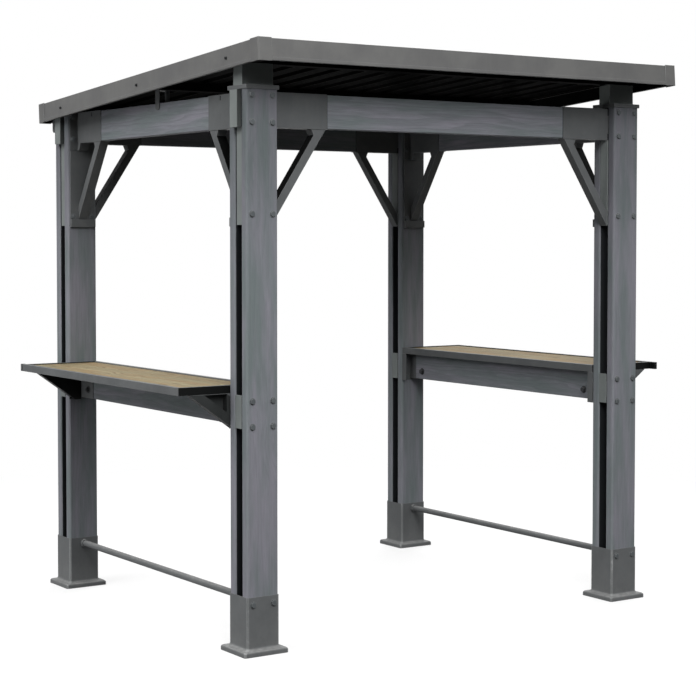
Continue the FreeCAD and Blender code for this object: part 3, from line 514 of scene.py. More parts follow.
@dataclass(frozen=True)
class Timber:
    """Stained or oiled softwood."""

    name: str
    slot: str
    grain: Axis
    cool: Colour
    warm: Colour
    late: Colour
    knot: Colour
    # Tone of rubbed edges, which also serves as their painted highlight.
    rubbed: Colour
    shade: Colour = srgb(36, 38, 40)
    line_depth: float = 0.16
    fibre_depth: float = 0.07
    fibre_mask: Span = (0.25, 0.75)
    pore_depth: float = 0.2
    knot_depth: float = 0.55
    ring_width: float = 0.02
    knot_share: float = 0.22
    # Amount of edge wear together with the painted edge highlight.
    rub: float = 0.28
    fibre_relief: float = 0.6
    pore_relief: float = -0.5
    bump: float = 0.45
    relief: float = 0.0004
    # Painted shade towards the top of upright boards, for the roof's shade: its strength, and the
    # heights where it starts and is full.
    roof_shade_depth: float = 0.0
    roof_shade_heights: Span = (1.45, 2.2)
    sheen: float = 0.03
    gloss_mask: Span = (0.3, 0.7)
    gloss: Span = (0.55, 0.72)

    @lru_cache(maxsize=None)
    def material(self) -> Material:
        """The timber as a material.

        Returns:
            A material with grain along the board, knots, pores, rubbed edges with a painted
            highlight, painted shade towards the top and painted shade on marked faces.
        """
        material, wires = new_material(self.name)
        place = wires.along_grain(self.grain)
        sizes = {"Place": place, "RingWidth": self.ring_width, "KnotShare": self.knot_share}
        figure = wires.group(timber_figure(), sizes)
        rub = wires.group(edge_wear(), {"Place": place, "Amount": self.rub})["Rubbed"]
        lines = wires.times(figure["Lines"], self.line_depth)
        colour = wires.layer(self.cool, (figure["Patches"], self.warm), (lines, self.late))
        tones = (1.0 - self.fibre_depth, 1.0 + self.fibre_depth)
        tone = wires.ease(figure["Fibre"], *self.fibre_mask, *tones)
        fibres = wires.add("CombineColor", {0: tone, 1: tone, 2: tone}).outputs[0]
        height = wires.height_of(wires.object_place())
        colour = wires.layer(
            wires.blend(1.0, colour, fibres, "MULTIPLY"),
            (wires.times(figure["Pores"], self.pore_depth), self.knot),
            (wires.times(figure["Knots"], self.knot_depth), self.knot),
            # Rubbed edges, which also carry a painted highlight.
            (rub, self.rubbed),
            # Painted shade that darkens the boards towards the top, under the roof.
            (wires.ease(height, *self.roof_shade_heights, 0.0, self.roof_shade_depth), self.shade),
            (wires.mark(SHADED), self.shade),
        )
        matt = wires.ease(figure["Fibre"], *self.gloss_mask, *self.gloss)
        grain = wires.weigh(figure["Fibre"], self.fibre_relief, figure["Lines"])
        grain = wires.weigh(figure["Pores"], self.pore_relief, grain)
        bump = {"Height": grain, "Strength": self.bump, "Distance": self.relief}
        wires.cover({"Base Color": colour, "Roughness": matt}, self.sheen, bump)
        return material


@dataclass(frozen=True)
class PowderCoat:
    """Steel under a baked powder coat."""

    name: str
    slot: str
    low: Colour
    high: Colour
    # Tone of dust, which also serves as painted light on upward faces.
    dusty: Colour
    # Tone of rubbed edges, which also serves as their painted highlight.
    bare: Colour
    shade: Colour = srgb(20, 21, 21)
    wipe_depth: float = 0.25
    # Amount of edge wear together with the painted edge highlight.
    wear: float = 0.5
    bare_metal: float = 0.25
    # Amount of dust, which also stands for painted light on upward faces.
    dust: float = 0.3
    dust_matt: float = 0.3
    bump: float = 0.35
    peel: float = 0.00022
    sheen: float = 0.04
    gloss: Span = (0.42, 0.58)

    @lru_cache(maxsize=None)
    def material(self) -> Material:
        """The coat as a material.

        Returns:
            A material with cloudy tone, orange peel, dust that also paints light on upward faces,
            rubbed edges with a painted highlight, and painted shade on marked faces.
        """
        material, wires = new_material(self.name)
        place = wires.object_place()
        skin = wires.group(coat_skin(), {"Place": place})
        rub = wires.group(edge_wear(), {"Place": place, "Amount": self.wear})["Rubbed"]
        dust = wires.group(settled_dust(), {"Place": place, "Amount": self.dust})["Dust"]
        colour = wires.layer(
            self.low,
            (skin["Clouds"], self.high),
            (wires.times(skin["Wipes"], self.wipe_depth), self.high),
            # Dust, which also paints light on upward faces.
            (dust, self.dusty),
            # Rubbed edges, which also carry a painted highlight.
            (rub, self.bare),
            (wires.mark(SHADED), self.shade),
        )
        matt = wires.ease(skin["Wipes"], 0.0, 1.0, *self.gloss)
        matt = wires.weigh(dust, self.dust_matt, matt)
        metal = wires.times(rub, self.bare_metal)
        bump = {"Height": skin["Peel"], "Strength": self.bump, "Distance": self.peel}
        wires.cover({"Base Color": colour, "Roughness": matt, "Metallic": metal}, self.sheen, bump)
        return material


Finish = Union[Timber, PowderCoat]


def recoat(base: PowderCoat, name: str, low: Steps, high: Steps, **changes: object) -> PowderCoat:
    """A coat like another, in its own tones."""
    return replace(base, name=name, low=srgb(*low), high=srgb(*high), **changes)


GREY_STAIN = Timber(
    name="grey_stain_upright",
    slot="grey_stained_wood",
    grain=Axis.Z,
    cool=srgb(110, 118, 119),
    warm=srgb(131, 130, 138),
    late=srgb(99, 105, 108),
    knot=srgb(82, 86, 89),
    rubbed=srgb(136, 141, 143),
    # The upright boards darken towards the top with painted shade.
    roof_shade_depth=0.36,
)
GREY_STAIN_ACROSS = replace(
    GREY_STAIN,
    name="grey_stain_across",
    grain=Axis.X,
    line_depth=0.4,
    fibre_depth=0.12,
    ring_width=0.014,
    roof_shade_depth=0.0,
)
GREY_STAIN_SIDE = replace(GREY_STAIN_ACROSS, name="grey_stain_side", grain=Axis.Y)
COUNTER_TIMBER = Timber(
    name="tan_counter_boards",
    slot="counter_wood",
    grain=Axis.Y,
    cool=srgb(150, 143, 116),
    warm=srgb(154, 133, 101),
    late=srgb(112, 95, 71),
    knot=srgb(92, 73, 52),
    rubbed=srgb(174, 163, 138),
    line_depth=0.75,
    fibre_depth=0.26,
    ring_width=0.014,
    relief=0.001,
    sheen=0.02,
)
FRAME_COAT = PowderCoat(
    name="frame_powder_coat",
    slot="frame_steel",
    low=srgb(86, 88, 89),
    high=srgb(96, 98, 99),
    dusty=srgb(134, 134, 131),
    bare=srgb(156, 158, 158),
)
# The bases' heavier edge wear and dust paint a highlight on their corners and light on the tops of
# their skirts.
BASE_COAT = recoat(
    FRAME_COAT,
    "base_powder_coat",
    (94, 96, 97),
    (103, 105, 106),
    dusty=srgb(152, 152, 151),
    wear=0.9,
    dust=0.7,
)
# A darker copy of the frame coat for the brackets' wings, which paints the shade under the
# counters.
SHADED_WING_COAT = recoat(FRAME_COAT, "wing_coat_painted_shade", (47, 49, 49), (55, 57, 57), wear=0.15)
# A lighter copy of the frame coat; on the risers its extra lightness is painted light where the
# roof shades them.
SLOT_COAT = recoat(FRAME_COAT, "slot_powder_coat", (110, 115, 114), (119, 124, 123))
FASCIA_COAT = recoat(
    FRAME_COAT, "fascia_powder_coat", (95, 95, 95), (104, 104, 103), slot="fascia_steel"
)
ROOF_COAT = PowderCoat(
    name="dark_roof_coat",
    slot="roof_steel",
    low=srgb(28, 29, 29),
    high=srgb(37, 38, 38),
    dusty=srgb(66, 65, 63),
    bare=srgb(92, 92, 90),
    dust=0.25,
)
# The underside's darker tone is painted shade under the roof; its near-zero sheen keeps it from
# mirroring the white room.
ROOF_SHADE_BACKING = recoat(
    ROOF_COAT,
    "roof_backing_painted_shade",
    (15, 15, 15),
    (23, 23, 23),
    dust=0.1,
    sheen=0.0002,
    gloss=(0.3, 0.42),
)
# The fascias' inner faces below the sheets take the same painted shade.
FASCIA_SHADE_BACKING = replace(ROOF_SHADE_BACKING, name="fascia_backing_painted_shade", slot="fascia_steel")
BOLT_COAT = recoat(
    FRAME_COAT,
    "coated_bolts",
    (84, 88, 90),
    (93, 97, 99),
    slot="bolt_steel",
    wear=0.8,
    gloss=(0.3, 0.45),
)
DARK_BOLT = recoat(
    BOLT_COAT, "dark_bolts", (30, 31, 33), (42, 43, 45), bare=srgb(120, 120, 118)
)
APRON_BOLT = recoat(DARK_BOLT, "apron_bolts", (56, 57, 59), (70, 71, 73))


def put_in_scene(name: str, data: bpy.types.ID) -> bpy.types.Object:
    """A new object of the scene.

    Args:
        name: The object's name.
        data: Its mesh, lamp or camera.

    Returns:
        The object.
    """
    thing = bpy.data.objects.new(name, data)
    bpy.context.scene.collection.objects.link(thing)
    return thing


class Form:
    """A mesh in the making."""

    def __init__(self) -> None:
        """Start with nothing."""
        self.mesh = bmesh.new()

    @classmethod
    def copy_of(cls, node: str) -> "Form":
        """A node's own shape, its loose triangles merged and its flat faces made whole.

        Args:
            node: The name of the node.

        Returns:
            The copied form.
        """
        form = cls()
        mesh = form.mesh
        mesh.from_mesh(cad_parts[node].data)
        bmesh.ops.remove_doubles(mesh, verts=mesh.verts, dist=WELD_DISTANCE)
        bmesh.ops.dissolve_limit(
            mesh, angle_limit=FLAT_ANGLE, verts=mesh.verts, edges=mesh.edges
        )
        return form

    def block(self, low: Vector, high: Vector) -> "Form":
        """Add a block.

        Args:
            low: Its lowest corner.
            high: Its highest corner.

        Returns:
            This form.
        """
        place = Matrix.Translation((low + high) / 2) @ Matrix.Diagonal((*(high - low), 1.0))
        bmesh.ops.create_cube(self.mesh, size=1.0, matrix=place)
        return self

    def bar(
        self, start: Vector, end: Vector, radius: float, sides: int, taper: float = 1.0
    ) -> "Form":
        """Add a round or many-sided bar.

        Args:
            start: The middle of its first end.
            end: The middle of its second end.
            radius: Its radius at the start.
            sides: How many sides it has.
            taper: The share of its radius that it has at the end.

        Returns:
            This form.
        """
        run = end - start
        turn = run.to_track_quat("Z", "Y").to_matrix().to_4x4()
        bmesh.ops.create_cone(
            self.mesh,
            cap_ends=True,
            segments=sides,
            radius1=radius,
            radius2=radius * taper,
            depth=run.length,
            matrix=Matrix.Translation((start + end) / 2) @ turn,
        )
        return self

    def prism(self, outline: Sequence[Vector], sweep: Vector) -> "Form":
        """Add a flat outline swept along a vector.

        Args:
            outline: The corners of its first end.
            sweep: From its first end to its second.

        Returns:
            This form.
        """
        face = self.mesh.faces.new([self.mesh.verts.new(point) for point in outline])
        swept = bmesh.ops.extrude_face_region(self.mesh, geom=[face], use_keep_orig=True)
        moved = [item for item in swept["geom"] if isinstance(item, bmesh.types.BMVert)]
        bmesh.ops.translate(self.mesh, verts=moved, vec=sweep)
        bmesh.ops.recalc_face_normals(self.mesh, faces=self.mesh.faces)
        return self

    def ringed(self, rings: Sequence[Sequence[Vector]]) -> "Form":
        """Add a closed form drawn up through rings of as many points each.

        Args:
            rings: The rings, from the one that closes the bottom to the one that closes the top.

        Returns:
            This form.
        """
        top = self.mesh.faces.new([self.mesh.verts.new(point) for point in rings[0]])
        for ring in rings[1:]:
            top = bmesh.ops.extrude_discrete_faces(self.mesh, faces=[top])["faces"][0]
            for corner, point in zip(top.verts, ring):
                corner.co = point
        bmesh.ops.recalc_face_normals(self.mesh, faces=self.mesh.faces)
        return self

    def ease(self, width: float, segments: int = 3, chosen: Optional[EdgeTest] = None) -> "Form":
        """Round the outer edges, and mark the new faces as places where a finish wears and a
        highlight is painted.

        Args:
            width: How far the rounding reaches from each edge.
            segments: How many faces it has.
            chosen: Which edges to round, or all of them.

        Returns:
            This form.
        """
        layers = self.mesh.loops.layers.float
        edge_mark = layers.get(EDGE_MARK) or layers.new(EDGE_MARK)
        edges = [
            edge
            for edge in self.mesh.edges
            if edge.is_manifold
            and edge.is_convex
            and edge.calc_face_angle() > CREASE_ANGLE
            and (chosen is None or chosen(edge))
        ]
        made = bmesh.ops.bevel(
            self.mesh,
            geom=edges,
            affect="EDGES",
            offset=width,
            offset_type="OFFSET",
            segments=segments,
            profile=0.5,
            material=-1,
            clamp_overlap=True,
        )
        for face in made["faces"]:
            for loop in face.loops:
                loop[edge_mark] = 1.0
        return self

    def cut(self, place: Vector, across: Vector) -> "Form":
        """Split the faces where a plane crosses them.

        Args:
            place: A point of the plane.
            across: The direction across the plane.

        Returns:
            This form.
        """
        parts = [*self.mesh.verts, *self.mesh.edges, *self.mesh.faces]
        bmesh.ops.bisect_plane(self.mesh, geom=parts, plane_co=place, plane_no=across)
        return self

    def shade(self, hidden: FaceTest, depth: float = 1.0) -> "Form":
        """Mark faces with painted shade, where light hardly reaches.

        Args:
            hidden: Which faces to mark.
            depth: How dark they are, up to 1.

        Returns:
            This form.
        """
        shaded = self.mesh.loops.layers.float.new(SHADED)
        self.mesh.normal_update()
        for face in filter(hidden, self.mesh.faces):
            for loop in face.loops:
                loop[shaded] = depth
        return self

    def back(self, hidden: FaceTest) -> "Form":
        """Give the faces of a back its second finish.

        Args:
            hidden: Which faces belong to the back.

        Returns:
            This form.
        """
        self.mesh.normal_update()
        for face in filter(hidden, self.mesh.faces):
            face.material_index = 1
        return self

    def add(self, other: "Form") -> "Form":
        """Take in another form.

        Args:
            other: The other form, which is used up.

        Returns:
            This form.
        """
        spare = bpy.data.meshes.new("spare")
        other.mesh.to_mesh(spare)
        other.mesh.free()
        self.mesh.from_mesh(spare)
        bpy.data.meshes.remove(spare)
        return self

    def islands(self) -> Iterator[tuple[Vector, Vector]]:
        """Find the separate solids.

        Yields:
            The lowest and highest corners of each.
        """
        left = dict.fromkeys(self.mesh.verts)
        while left:
            reached = [left.popitem()[0]]
            points = []
            while reached:
                vertex = reached.pop()
                points.append(vertex.co)
                for edge in vertex.link_edges:
                    near = edge.other_vert(vertex)
                    if near in left:
                        del left[near]
                        reached.append(near)
            low, high = (Vector(map(pick, zip(*points))) for pick in (min, max))
            yield low, high

    def finish(
        self, name: str, finish: Finish, *stands_for: str, backing: Optional[Finish] = None
    ) -> None:
        """Make the form a piece of the gazebo.

        Args:
            name: The piece's name.
            finish: Its finish.
            stands_for: The nodes that it replaces.
            backing: The finish of its back, if another.
        """
        mesh = bpy.data.meshes.new(name)
        self.mesh.to_mesh(mesh)
        self.mesh.free()
        imported = mesh.attributes.get("custom_normal")
        if imported is not None:
            mesh.attributes.remove(imported)
        mesh.shade_smooth()
        mesh.set_sharp_from_angle(angle=SMOOTH_ANGLE)
        mesh.materials.append(finish.material())
        if backing is not None:
            mesh.materials.append(backing.material())
        piece = put_in_scene(name, mesh)
        piece.modifiers.new("even_shading", "WEIGHTED_NORMAL").keep_sharp = True
        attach(piece, "root")
        if stands_for:
            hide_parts(*stands_for)
        LOG.info("%s: %d faces in %s", name, len(mesh.polygons), finish.slot)


def along(edge: Edge, direction: Vector) -> bool:
    """Whether an edge runs along a direction."""
    run = edge.verts[1].co - edge.verts[0].co
    return abs(run.normalized().dot(direction)) > PARALLEL


def looks_towards(direction: Vector) -> FaceTest:
    """A test for faces that look in a direction."""
    return lambda face: face.normal.dot(direction.normalized()) > FACING


def middle_of(node: str) -> Vector:
    """The middle of a node's box."""
    low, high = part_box(node)
    return (low + high) / 2


def soften(
    name: str, node: str, width: float, finish: Finish = FRAME_COAT, segments: int = 3
) -> None:
    """Make one piece from a node's own shape, which it replaces, with rounded edges."""
    Form.copy_of(node).ease(width, segments).finish(name, finish, node)


@dataclass
class Boards:
    """Timber boards with rounded long edges, each in the place of a node."""

    rounding: float = 0.010
    rounding_faces: int = 4
    end_ease: float = 0.0015
    mouth_shadow: float = 0.0025

    def build(self) -> None:
        """Post boards, beams and apron rails."""
        for corner in Corner:
            inner, outer = (f"post_{layer.value}_board_{corner.value}" for layer in Layer)
            gap = middle_of(outer) - middle_of(inner)
            for layer, node, slot in ((Layer.INNER, inner, gap), (Layer.OUTER, outer, -gap)):
                # The side of each board that faces the slot gets painted shade.
                form = self.planed(node, Axis.Z, self.rounding).shade(looks_towards(slot))
                form.finish(f"upright_{layer.value}_{corner.value}", GREY_STAIN, node)
        for end in ENDS:
            sleeves = [f"long_sleeve_{end}_{side.label}" for side in Side]
            self.beam(end, Axis.X, GREY_STAIN_ACROSS, *sleeves)
        for side in Side:
            sleeves = [f"side_sleeve_{end}_{side.label}" for end in ENDS]
            self.beam(side.label, Axis.Y, GREY_STAIN_SIDE, *sleeves)
            node = f"apron_rail_{side.label}"
            form = self.planed(node, Axis.Y, self.rounding / 2)
            form.finish(f"apron_board_{side.label}", GREY_STAIN_SIDE, node)

    def planed(self, node: str, grain: Axis, rounding: float) -> Form:
        """A board with rounded long edges and eased ends.

        Args:
            node: The node whose place it takes.
            grain: The direction that it runs in.
            rounding: How far its long edges are rounded.

        Returns:
            The board's form.
        """
        form = Form().block(*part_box(node))
        form.ease(rounding, self.rounding_faces, lambda edge: along(edge, grain.vector))
        return form.ease(self.end_ease, 1)

    def beam(self, place: str, grain: Axis, finish: Finish, first: str, last: str) -> None:
        """Make one beam, with painted shade on its ends inside the sleeves and a thin strip of it
        at each sleeve's mouth.

        Args:
            place: The side of the gazebo that it is on.
            grain: The direction that it runs in.
            finish: Its timber.
            first: The sleeve at its low end.
            last: The sleeve at its high end.
        """
        node = f"beam_{place}"
        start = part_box(first)[1][grain.value] + self.mouth_shadow
        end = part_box(last)[0][grain.value] - self.mouth_shadow
        form = self.planed(node, grain, self.rounding / 2)
        form.cut(grain.vector * start, grain.vector).cut(grain.vector * end, grain.vector)
        form.shade(lambda face: not start < face.calc_center_median()[grain.value] < end)
        form.finish(f"crossbeam_{place}", finish, node)


@dataclass
class FlaredBases:
    """Steel sleeves round the feet of the posts, with a flared skirt."""

    overhang: float = 0.028
    edge: float = 0.013
    edge_round: float = 0.008
    cove: float = 0.012
    wall: float = 0.0022
    floor: float = 0.005
    corner_round: float = 0.008
    lip_ease: float = 0.001
    steps: int = 7

    def build(self) -> None:
        """One sleeve at each corner."""
        for corner in Corner:
            node = f"base_sleeve_{corner.value}"
            low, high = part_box(node)
            lip = high.z - self.lip_ease
            rings = [self.ring(low, high, *point) for point in self.profile(high.z)]
            form = Form().ringed(rings).ease(self.corner_round, chosen=self.is_corner)
            form.ease(self.lip_ease, 2, lambda edge: min(v.co.z for v in edge.verts) > lip)
            form.finish(f"flared_base_{corner.value}", BASE_COAT, node)

    def profile(self, top: float) -> list[Span]:
        """The sleeve's outline from under its skirt, over its top and down to its floor.

        Args:
            top: The height of the sleeve.

        Returns:
            Points as (distance out from the sleeve's outer wall, height).
        """
        knee = self.overhang - self.edge_round
        shelf = self.edge + self.edge_round
        turns = [math.pi / 2 * step / self.steps for step in range(self.steps + 1)]
        edge = [
            (knee + self.edge_round * math.cos(turn), self.edge + self.edge_round * math.sin(turn))
            for turn in turns
        ]
        cove = [
            (knee * (1 - math.sin(turn)), shelf + self.cove * (1 - math.cos(turn)))
            for turn in turns[1:]
        ]
        inside = [(0.0, top), (-self.wall, top), (-self.wall, self.floor)]
        return [(self.overhang, 0.0), *edge, *cove, *inside]

    def ring(self, low: Vector, high: Vector, reach: float, height: float) -> list[Vector]:
        """The sleeve at one point of its outline.

        Args:
            low: The lowest corner of its box.
            high: The highest corner of its box.
            reach: The point's distance out from the outer wall.
            height: The point's height.

        Returns:
            The four corners there.
        """
        drawn_in = self.overhang - reach
        left, right = low.x + drawn_in, high.x - drawn_in
        front, back = low.y + drawn_in, high.y - drawn_in
        corners = ((left, front), (right, front), (right, back), (left, back))
        return [Vector((x, y, height)) for x, y in corners]

    def is_corner(self, edge: Edge) -> bool:
        """Whether an edge climbs a corner of the sleeve."""
        rise = edge.verts[1].co - edge.verts[0].co
        return abs(abs(rise.x) - abs(rise.y)) < SAME_PLACE < rise.length


@dataclass
class CoatedSteel:
    """Plates, tubes and folded sheets that keep their node's shape, with softened edges."""

    sheet_ease: float = 0.0007
    plate_ease: float = 0.0012
    tube_ease: float = 0.0022
    # Width and darkness of the strips of painted shade along the end caps' upright edges, where no
    # gap is modelled.
    cap_shade_strip: float = 0.0025
    cap_shade_depth: float = 0.75
    strip_digits: int = 4
    corner_slope: float = 0.25
    cheek: float = 0.005

    def build(self) -> None:
        """Sleeves, braces, brackets and roof supports."""
        for corner in Corner:
            for run in ("long", "side"):
                sleeve = f"{run}_sleeve_{corner.value}"
                soften(f"beam_sleeve_{run}_{corner.value}", sleeve, self.sheet_ease)
            for run in ("long", "side"):
                self.knee(f"knee_{run}_{corner.value}", f"{run}_brace_{corner.value}")
        for side in Side:
            for end in ENDS:
                self.bracket(f"{end}_{side.label}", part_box(f"apron_rail_{side.label}"))
        soften("cap_pans", "post_caps", self.tube_ease)
        soften("slot_inserts", "slot_blocks", self.plate_ease, SLOT_COAT)
        self.cap_tongues()
        soften("knee_foot_plates", "brace_foot_plates", self.plate_ease)
        # The risers take the lighter coat as painted light under the roof's edge.
        soften("post_risers", "front_risers", self.plate_ease, SLOT_COAT)
        soften("beam_saddles", "purlin_saddles", self.plate_ease)
        soften("hold_down_channels", "roof_hold_downs", self.plate_ease)

    def knee(self, name: str, node: str) -> None:
        """Make one knee brace, with painted shade on the faces that look up into its corner."""
        form = Form.copy_of(node).ease(self.tube_ease)
        form.shade(lambda face: face.normal.z > self.corner_slope).finish(name, FRAME_COAT, node)

    def bracket(self, label: str, apron: tuple[Vector, Vector]) -> None:
        """Make one counter bracket: a wing in a darker coat that paints the shade under the
        counter, with painted shade below and on its inward faces, and a lighter plate and cheek in
        the frame coat.

        Args:
            label: The corner that it is at.
            apron: The box of the apron rail that its cheek holds.
        """
        node = f"counter_bracket_{label}"
        reach = max(abs(corner.x) for corner in apron) + self.cheek
        inward = looks_towards(Axis.Y.vector * -middle_of(node).y)
        form = Form.copy_of(node).ease(self.plate_ease)
        form.back(lambda face: abs(face.calc_center_median().x) < reach)
        form.shade(
            lambda face: face.normal.z < -self.corner_slope
            or (face.material_index == 0 and inward(face))
        )
        form.finish(f"bar_bracket_{label}", SHADED_WING_COAT, node, backing=FRAME_COAT)

    def cap_tongues(self) -> None:
        """End caps of the sleeves' tongues, with a strip of painted shade along each upright edge
        in place of a gap.
        """
        form = Form.copy_of("tongue_end_caps").ease(self.tube_ease)
        unshaded_spans = [(low.y + self.cap_shade_strip, high.y - self.cap_shade_strip) for low, high in form.islands()]
        for level in sorted({round(level, self.strip_digits) for gap in unshaded_spans for level in gap}):
            form.cut(Axis.Y.vector * level, Axis.Y.vector)
        form.shade(
            lambda face: not any(start < face.calc_center_median().y < end for start, end in unshaded_spans),
            self.cap_shade_depth,
        )
        form.finish("sleeve_end_caps", SLOT_COAT, "tongue_end_caps")


@dataclass
class Counters:
    """The bar counters: steel frames with boards laid in them."""

    board_ease: float = 0.002
    frame_ease: float = 0.0015
    turned: float = 0.6
    nose_groove: Span = (0.021, 0.027)

    def build(self) -> None:
        """Frame and boards on each side."""
        for side in Side:
            frame_node = f"counter_frame_{side.label}"
            form = Form.copy_of(frame_node).ease(self.frame_ease)
            # Ends, the inside of the outer rail and the nose groove get painted shade.
            form.shade(self.is_hidden(side, *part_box(frame_node)))
            form.finish(f"bar_frame_{side.label}", FRAME_COAT, frame_node)
            boards = f"counter_boards_{side.label}"
            soften(f"bar_boards_{side.label}", boards, self.board_ease, COUNTER_TIMBER)

    def is_hidden(self, side: Side, low: Vector, high: Vector) -> FaceTest:
        """A test for a frame's faces with painted shade: ends, inside of the outer rail, groove
        near the nose.

        Args:
            side: The frame's side of the gazebo.
            low: The lowest corner of its box.
            high: The highest corner of its box.

        Returns:
            The test.
        """
        nose = high.y if side is Side.LEFT else low.y
        middle = abs(low.x + high.x) / 2
        start, end = self.nose_groove

        def hidden(face: Face) -> bool:
            """Whether one face has painted shade.

            Args:
                face: The face.

            Returns:
                True for a face with painted shade.
            """
            place = face.calc_center_median()
            inner = -side.value * face.normal.x > self.turned and abs(place.x) > middle
            grooved = start < abs(nose - place.y) < end
            return inner or grooved or abs(face.normal.y) > self.turned

        return hidden


@dataclass
class FootRails:
    """Round rails between the base sleeves, in collars held by grub screws."""

    radius: float = 0.0145
    collar_length: float = 0.016
    collar_ease: float = 0.002
    sides: int = 40
    grub_radius: float = 0.003
    grub_proud: float = 0.001

    def build(self) -> None:
        """One rail on each side."""
        down = -Axis.Z.vector
        for side in Side:
            node = f"foot_rail_{side.label}"
            low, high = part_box(node)
            middle = middle_of(node)
            collar_radius = (high.z - low.z) / 2
            front, back = (Vector((middle.x, y, middle.z)) for y in (low.y, high.y))
            form = Form()
            for end, inward in ((front, Axis.Y.vector), (back, -Axis.Y.vector)):
                collar = inward * self.collar_length
                form.bar(end, end + collar, collar_radius, self.sides)
                screw = end + collar / 2 + down * (collar_radius - self.grub_proud)
                form.bar(screw, screw + down * self.grub_proud, self.grub_radius, HEX)
            form.ease(self.collar_ease)
            form.add(Form().bar(front, back, self.radius, self.sides))
            form.finish(f"round_rail_{side.label}", BASE_COAT, node)


@dataclass
class Roof:
    """The single-slope roof: ribbed sheets, purlins, fascia channels and their screws."""

    slope: float = math.radians(3.98)
    sheet_count: int = 3
    ribs_per_sheet: int = 6
    sheet_thickness: float = 0.002
    rib_height: float = 0.020
    rib_base: float = 0.056
    rib_crown: float = 0.028
    fold_round: float = 0.0018
    underside: float = -0.1
    fascia_ease: float = 0.0008
    fascia_lip: float = 0.0035
    corner_ease: float = 0.0022
    screw_radius: float = 0.0045
    washer_radius: float = 0.008
    fascia_screw_radius: float = 0.006
    fascia_washer_radius: float = 0.0069
    fascia_screw_drop: float = 0.019
    washer_rise: float = 0.3
    washer_taper: float = 0.86
    washer_sides: int = 12
    head_rise: float = 0.8

    def build(self) -> None:
        """Everything above the posts and beams."""
        self.lay_sheets()
        # The purlins take the painted shade of the roof's underside all over.
        soften("cee_purlins", "roof_purlins", self.fascia_ease, ROOF_SHADE_BACKING, segments=2)
        for place in (*ENDS, *(side.label for side in Side)):
            node = f"fascia_{place}"
            form = Form.copy_of(node).ease(self.fascia_ease, 2)
            # Inner faces below the sheets take the painted shade.
            form.cut(self.tilt.translation, self.up).back(self.is_under(middle_of(node)))
            form.finish(f"fascia_channel_{place}", FASCIA_COAT, node, backing=FASCIA_SHADE_BACKING)
        soften("fascia_corner_covers", "fascia_corners", self.corner_ease, FASCIA_COAT)
        self.drive_screws()

    @property
    def tilt(self) -> Matrix:
        """The way from the flat roof to its place.

        Returns:
            A matrix for X across, Y down the slope and Z out of the sheets.
        """
        turn = Matrix.Rotation(-self.slope, 4, "X")
        lift = turn @ Vector((0.0, 0.0, self.crown)) / 2
        return Matrix.Translation(middle_of("roof_sheets") - lift) @ turn

    @property
    def up(self) -> Vector:
        """The direction out of the sheets."""
        return self.tilt.to_3x3() @ Axis.Z.vector

    @property
    def crown(self) -> float:
        """The height of the ribs' tops over the sheets' undersides."""
        return self.sheet_thickness + self.rib_height

    @property
    def half_width(self) -> float:
        """Half the width of the sheets."""
        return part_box("roof_sheets")[1].x

    @property
    def half_run(self) -> float:
        """Half the length of the sheets down the slope."""
        low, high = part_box("roof_sheets")
        return (high.y - low.y - self.crown * math.sin(self.slope)) / 2 / math.cos(self.slope)

    def is_under(self, place: Vector) -> FaceTest:
        """A test for a fascia's inner faces that lie below the sheets.

        Args:
            place: The middle of the fascia.

        Returns:
            The test.
        """
        inward = looks_towards(Vector((-place.x, -place.y, 0.0)))
        level, up = self.tilt.translation, self.up
        return lambda face: inward(face) and (face.calc_center_median() - level).dot(up) < 0.0

    def on_roof(self, x: float, run: float, rise: float) -> Vector:
        """A point of the flat roof in its place."""
        return self.tilt @ Vector((x, run, rise))

    def rib_places(self) -> list[float]:
        """The middles of the ribs.

        Returns:
            Their places across the roof, from left to right.
        """
        count = self.sheet_count * self.ribs_per_sheet
        pitch = 2 * self.half_width / count
        return [(k + 0.5) * pitch - self.half_width for k in range(count)]

    def sheet_line(self, ribs: Sequence[float], start: float, end: float) -> list[Span]:
        """One side of a ribbed sheet.

        Args:
            ribs: The middles of its ribs.
            start: Its left end.
            end: Its right end.

        Returns:
            Points as (x, rise) from left to right.
        """
        foot, top = (self.rib_base / 2, 0.0), (self.rib_crown / 2, self.rib_height)
        rib = ((-foot[0], 0.0), (-top[0], top[1]), top, foot)
        line = [(middle + x, rise) for middle in ribs for x, rise in rib]
        return [(start, 0.0), *line, (end, 0.0)]

    def lay_sheets(self) -> None:
        """Lay the ribbed sheets edge to edge."""
        ribs = self.rib_places()
        width = 2 * self.half_width / self.sheet_count
        sweep = self.on_roof(0, 2 * self.half_run, 0) - self.on_roof(0, 0, 0)
        form = Form()
        for k in range(self.sheet_count):
            start = k * width - self.half_width
            own = ribs[k * self.ribs_per_sheet:(k + 1) * self.ribs_per_sheet]
            under = self.sheet_line(own, start, start + width)
            over = [(x, rise + self.sheet_thickness) for x, rise in reversed(under)]
            outline = [self.on_roof(x, -self.half_run, rise) for x, rise in under + over]
            sheet = Form().prism(outline, sweep)
            sheet.ease(self.fold_round, 2, lambda edge: edge.calc_length() > self.half_run)
            form.add(sheet)
        # Undersides take the painted shade.
        form.back(lambda face: face.normal.dot(self.up) < self.underside)
        form.finish("ribbed_sheets", ROOF_COAT, "roof_sheets", backing=ROOF_SHADE_BACKING)

    def purlin_runs(self) -> list[float]:
        """How far down the slope the purlins lie.

        Returns:
            The distance of each from the roof's middle, from front to back.
        """
        purlins = Form.copy_of("roof_purlins").islands()
        middles = sorted((low.y + high.y) / 2 for low, high in purlins)
        return [(middle - self.tilt.translation.y) / math.cos(self.slope) for middle in middles]

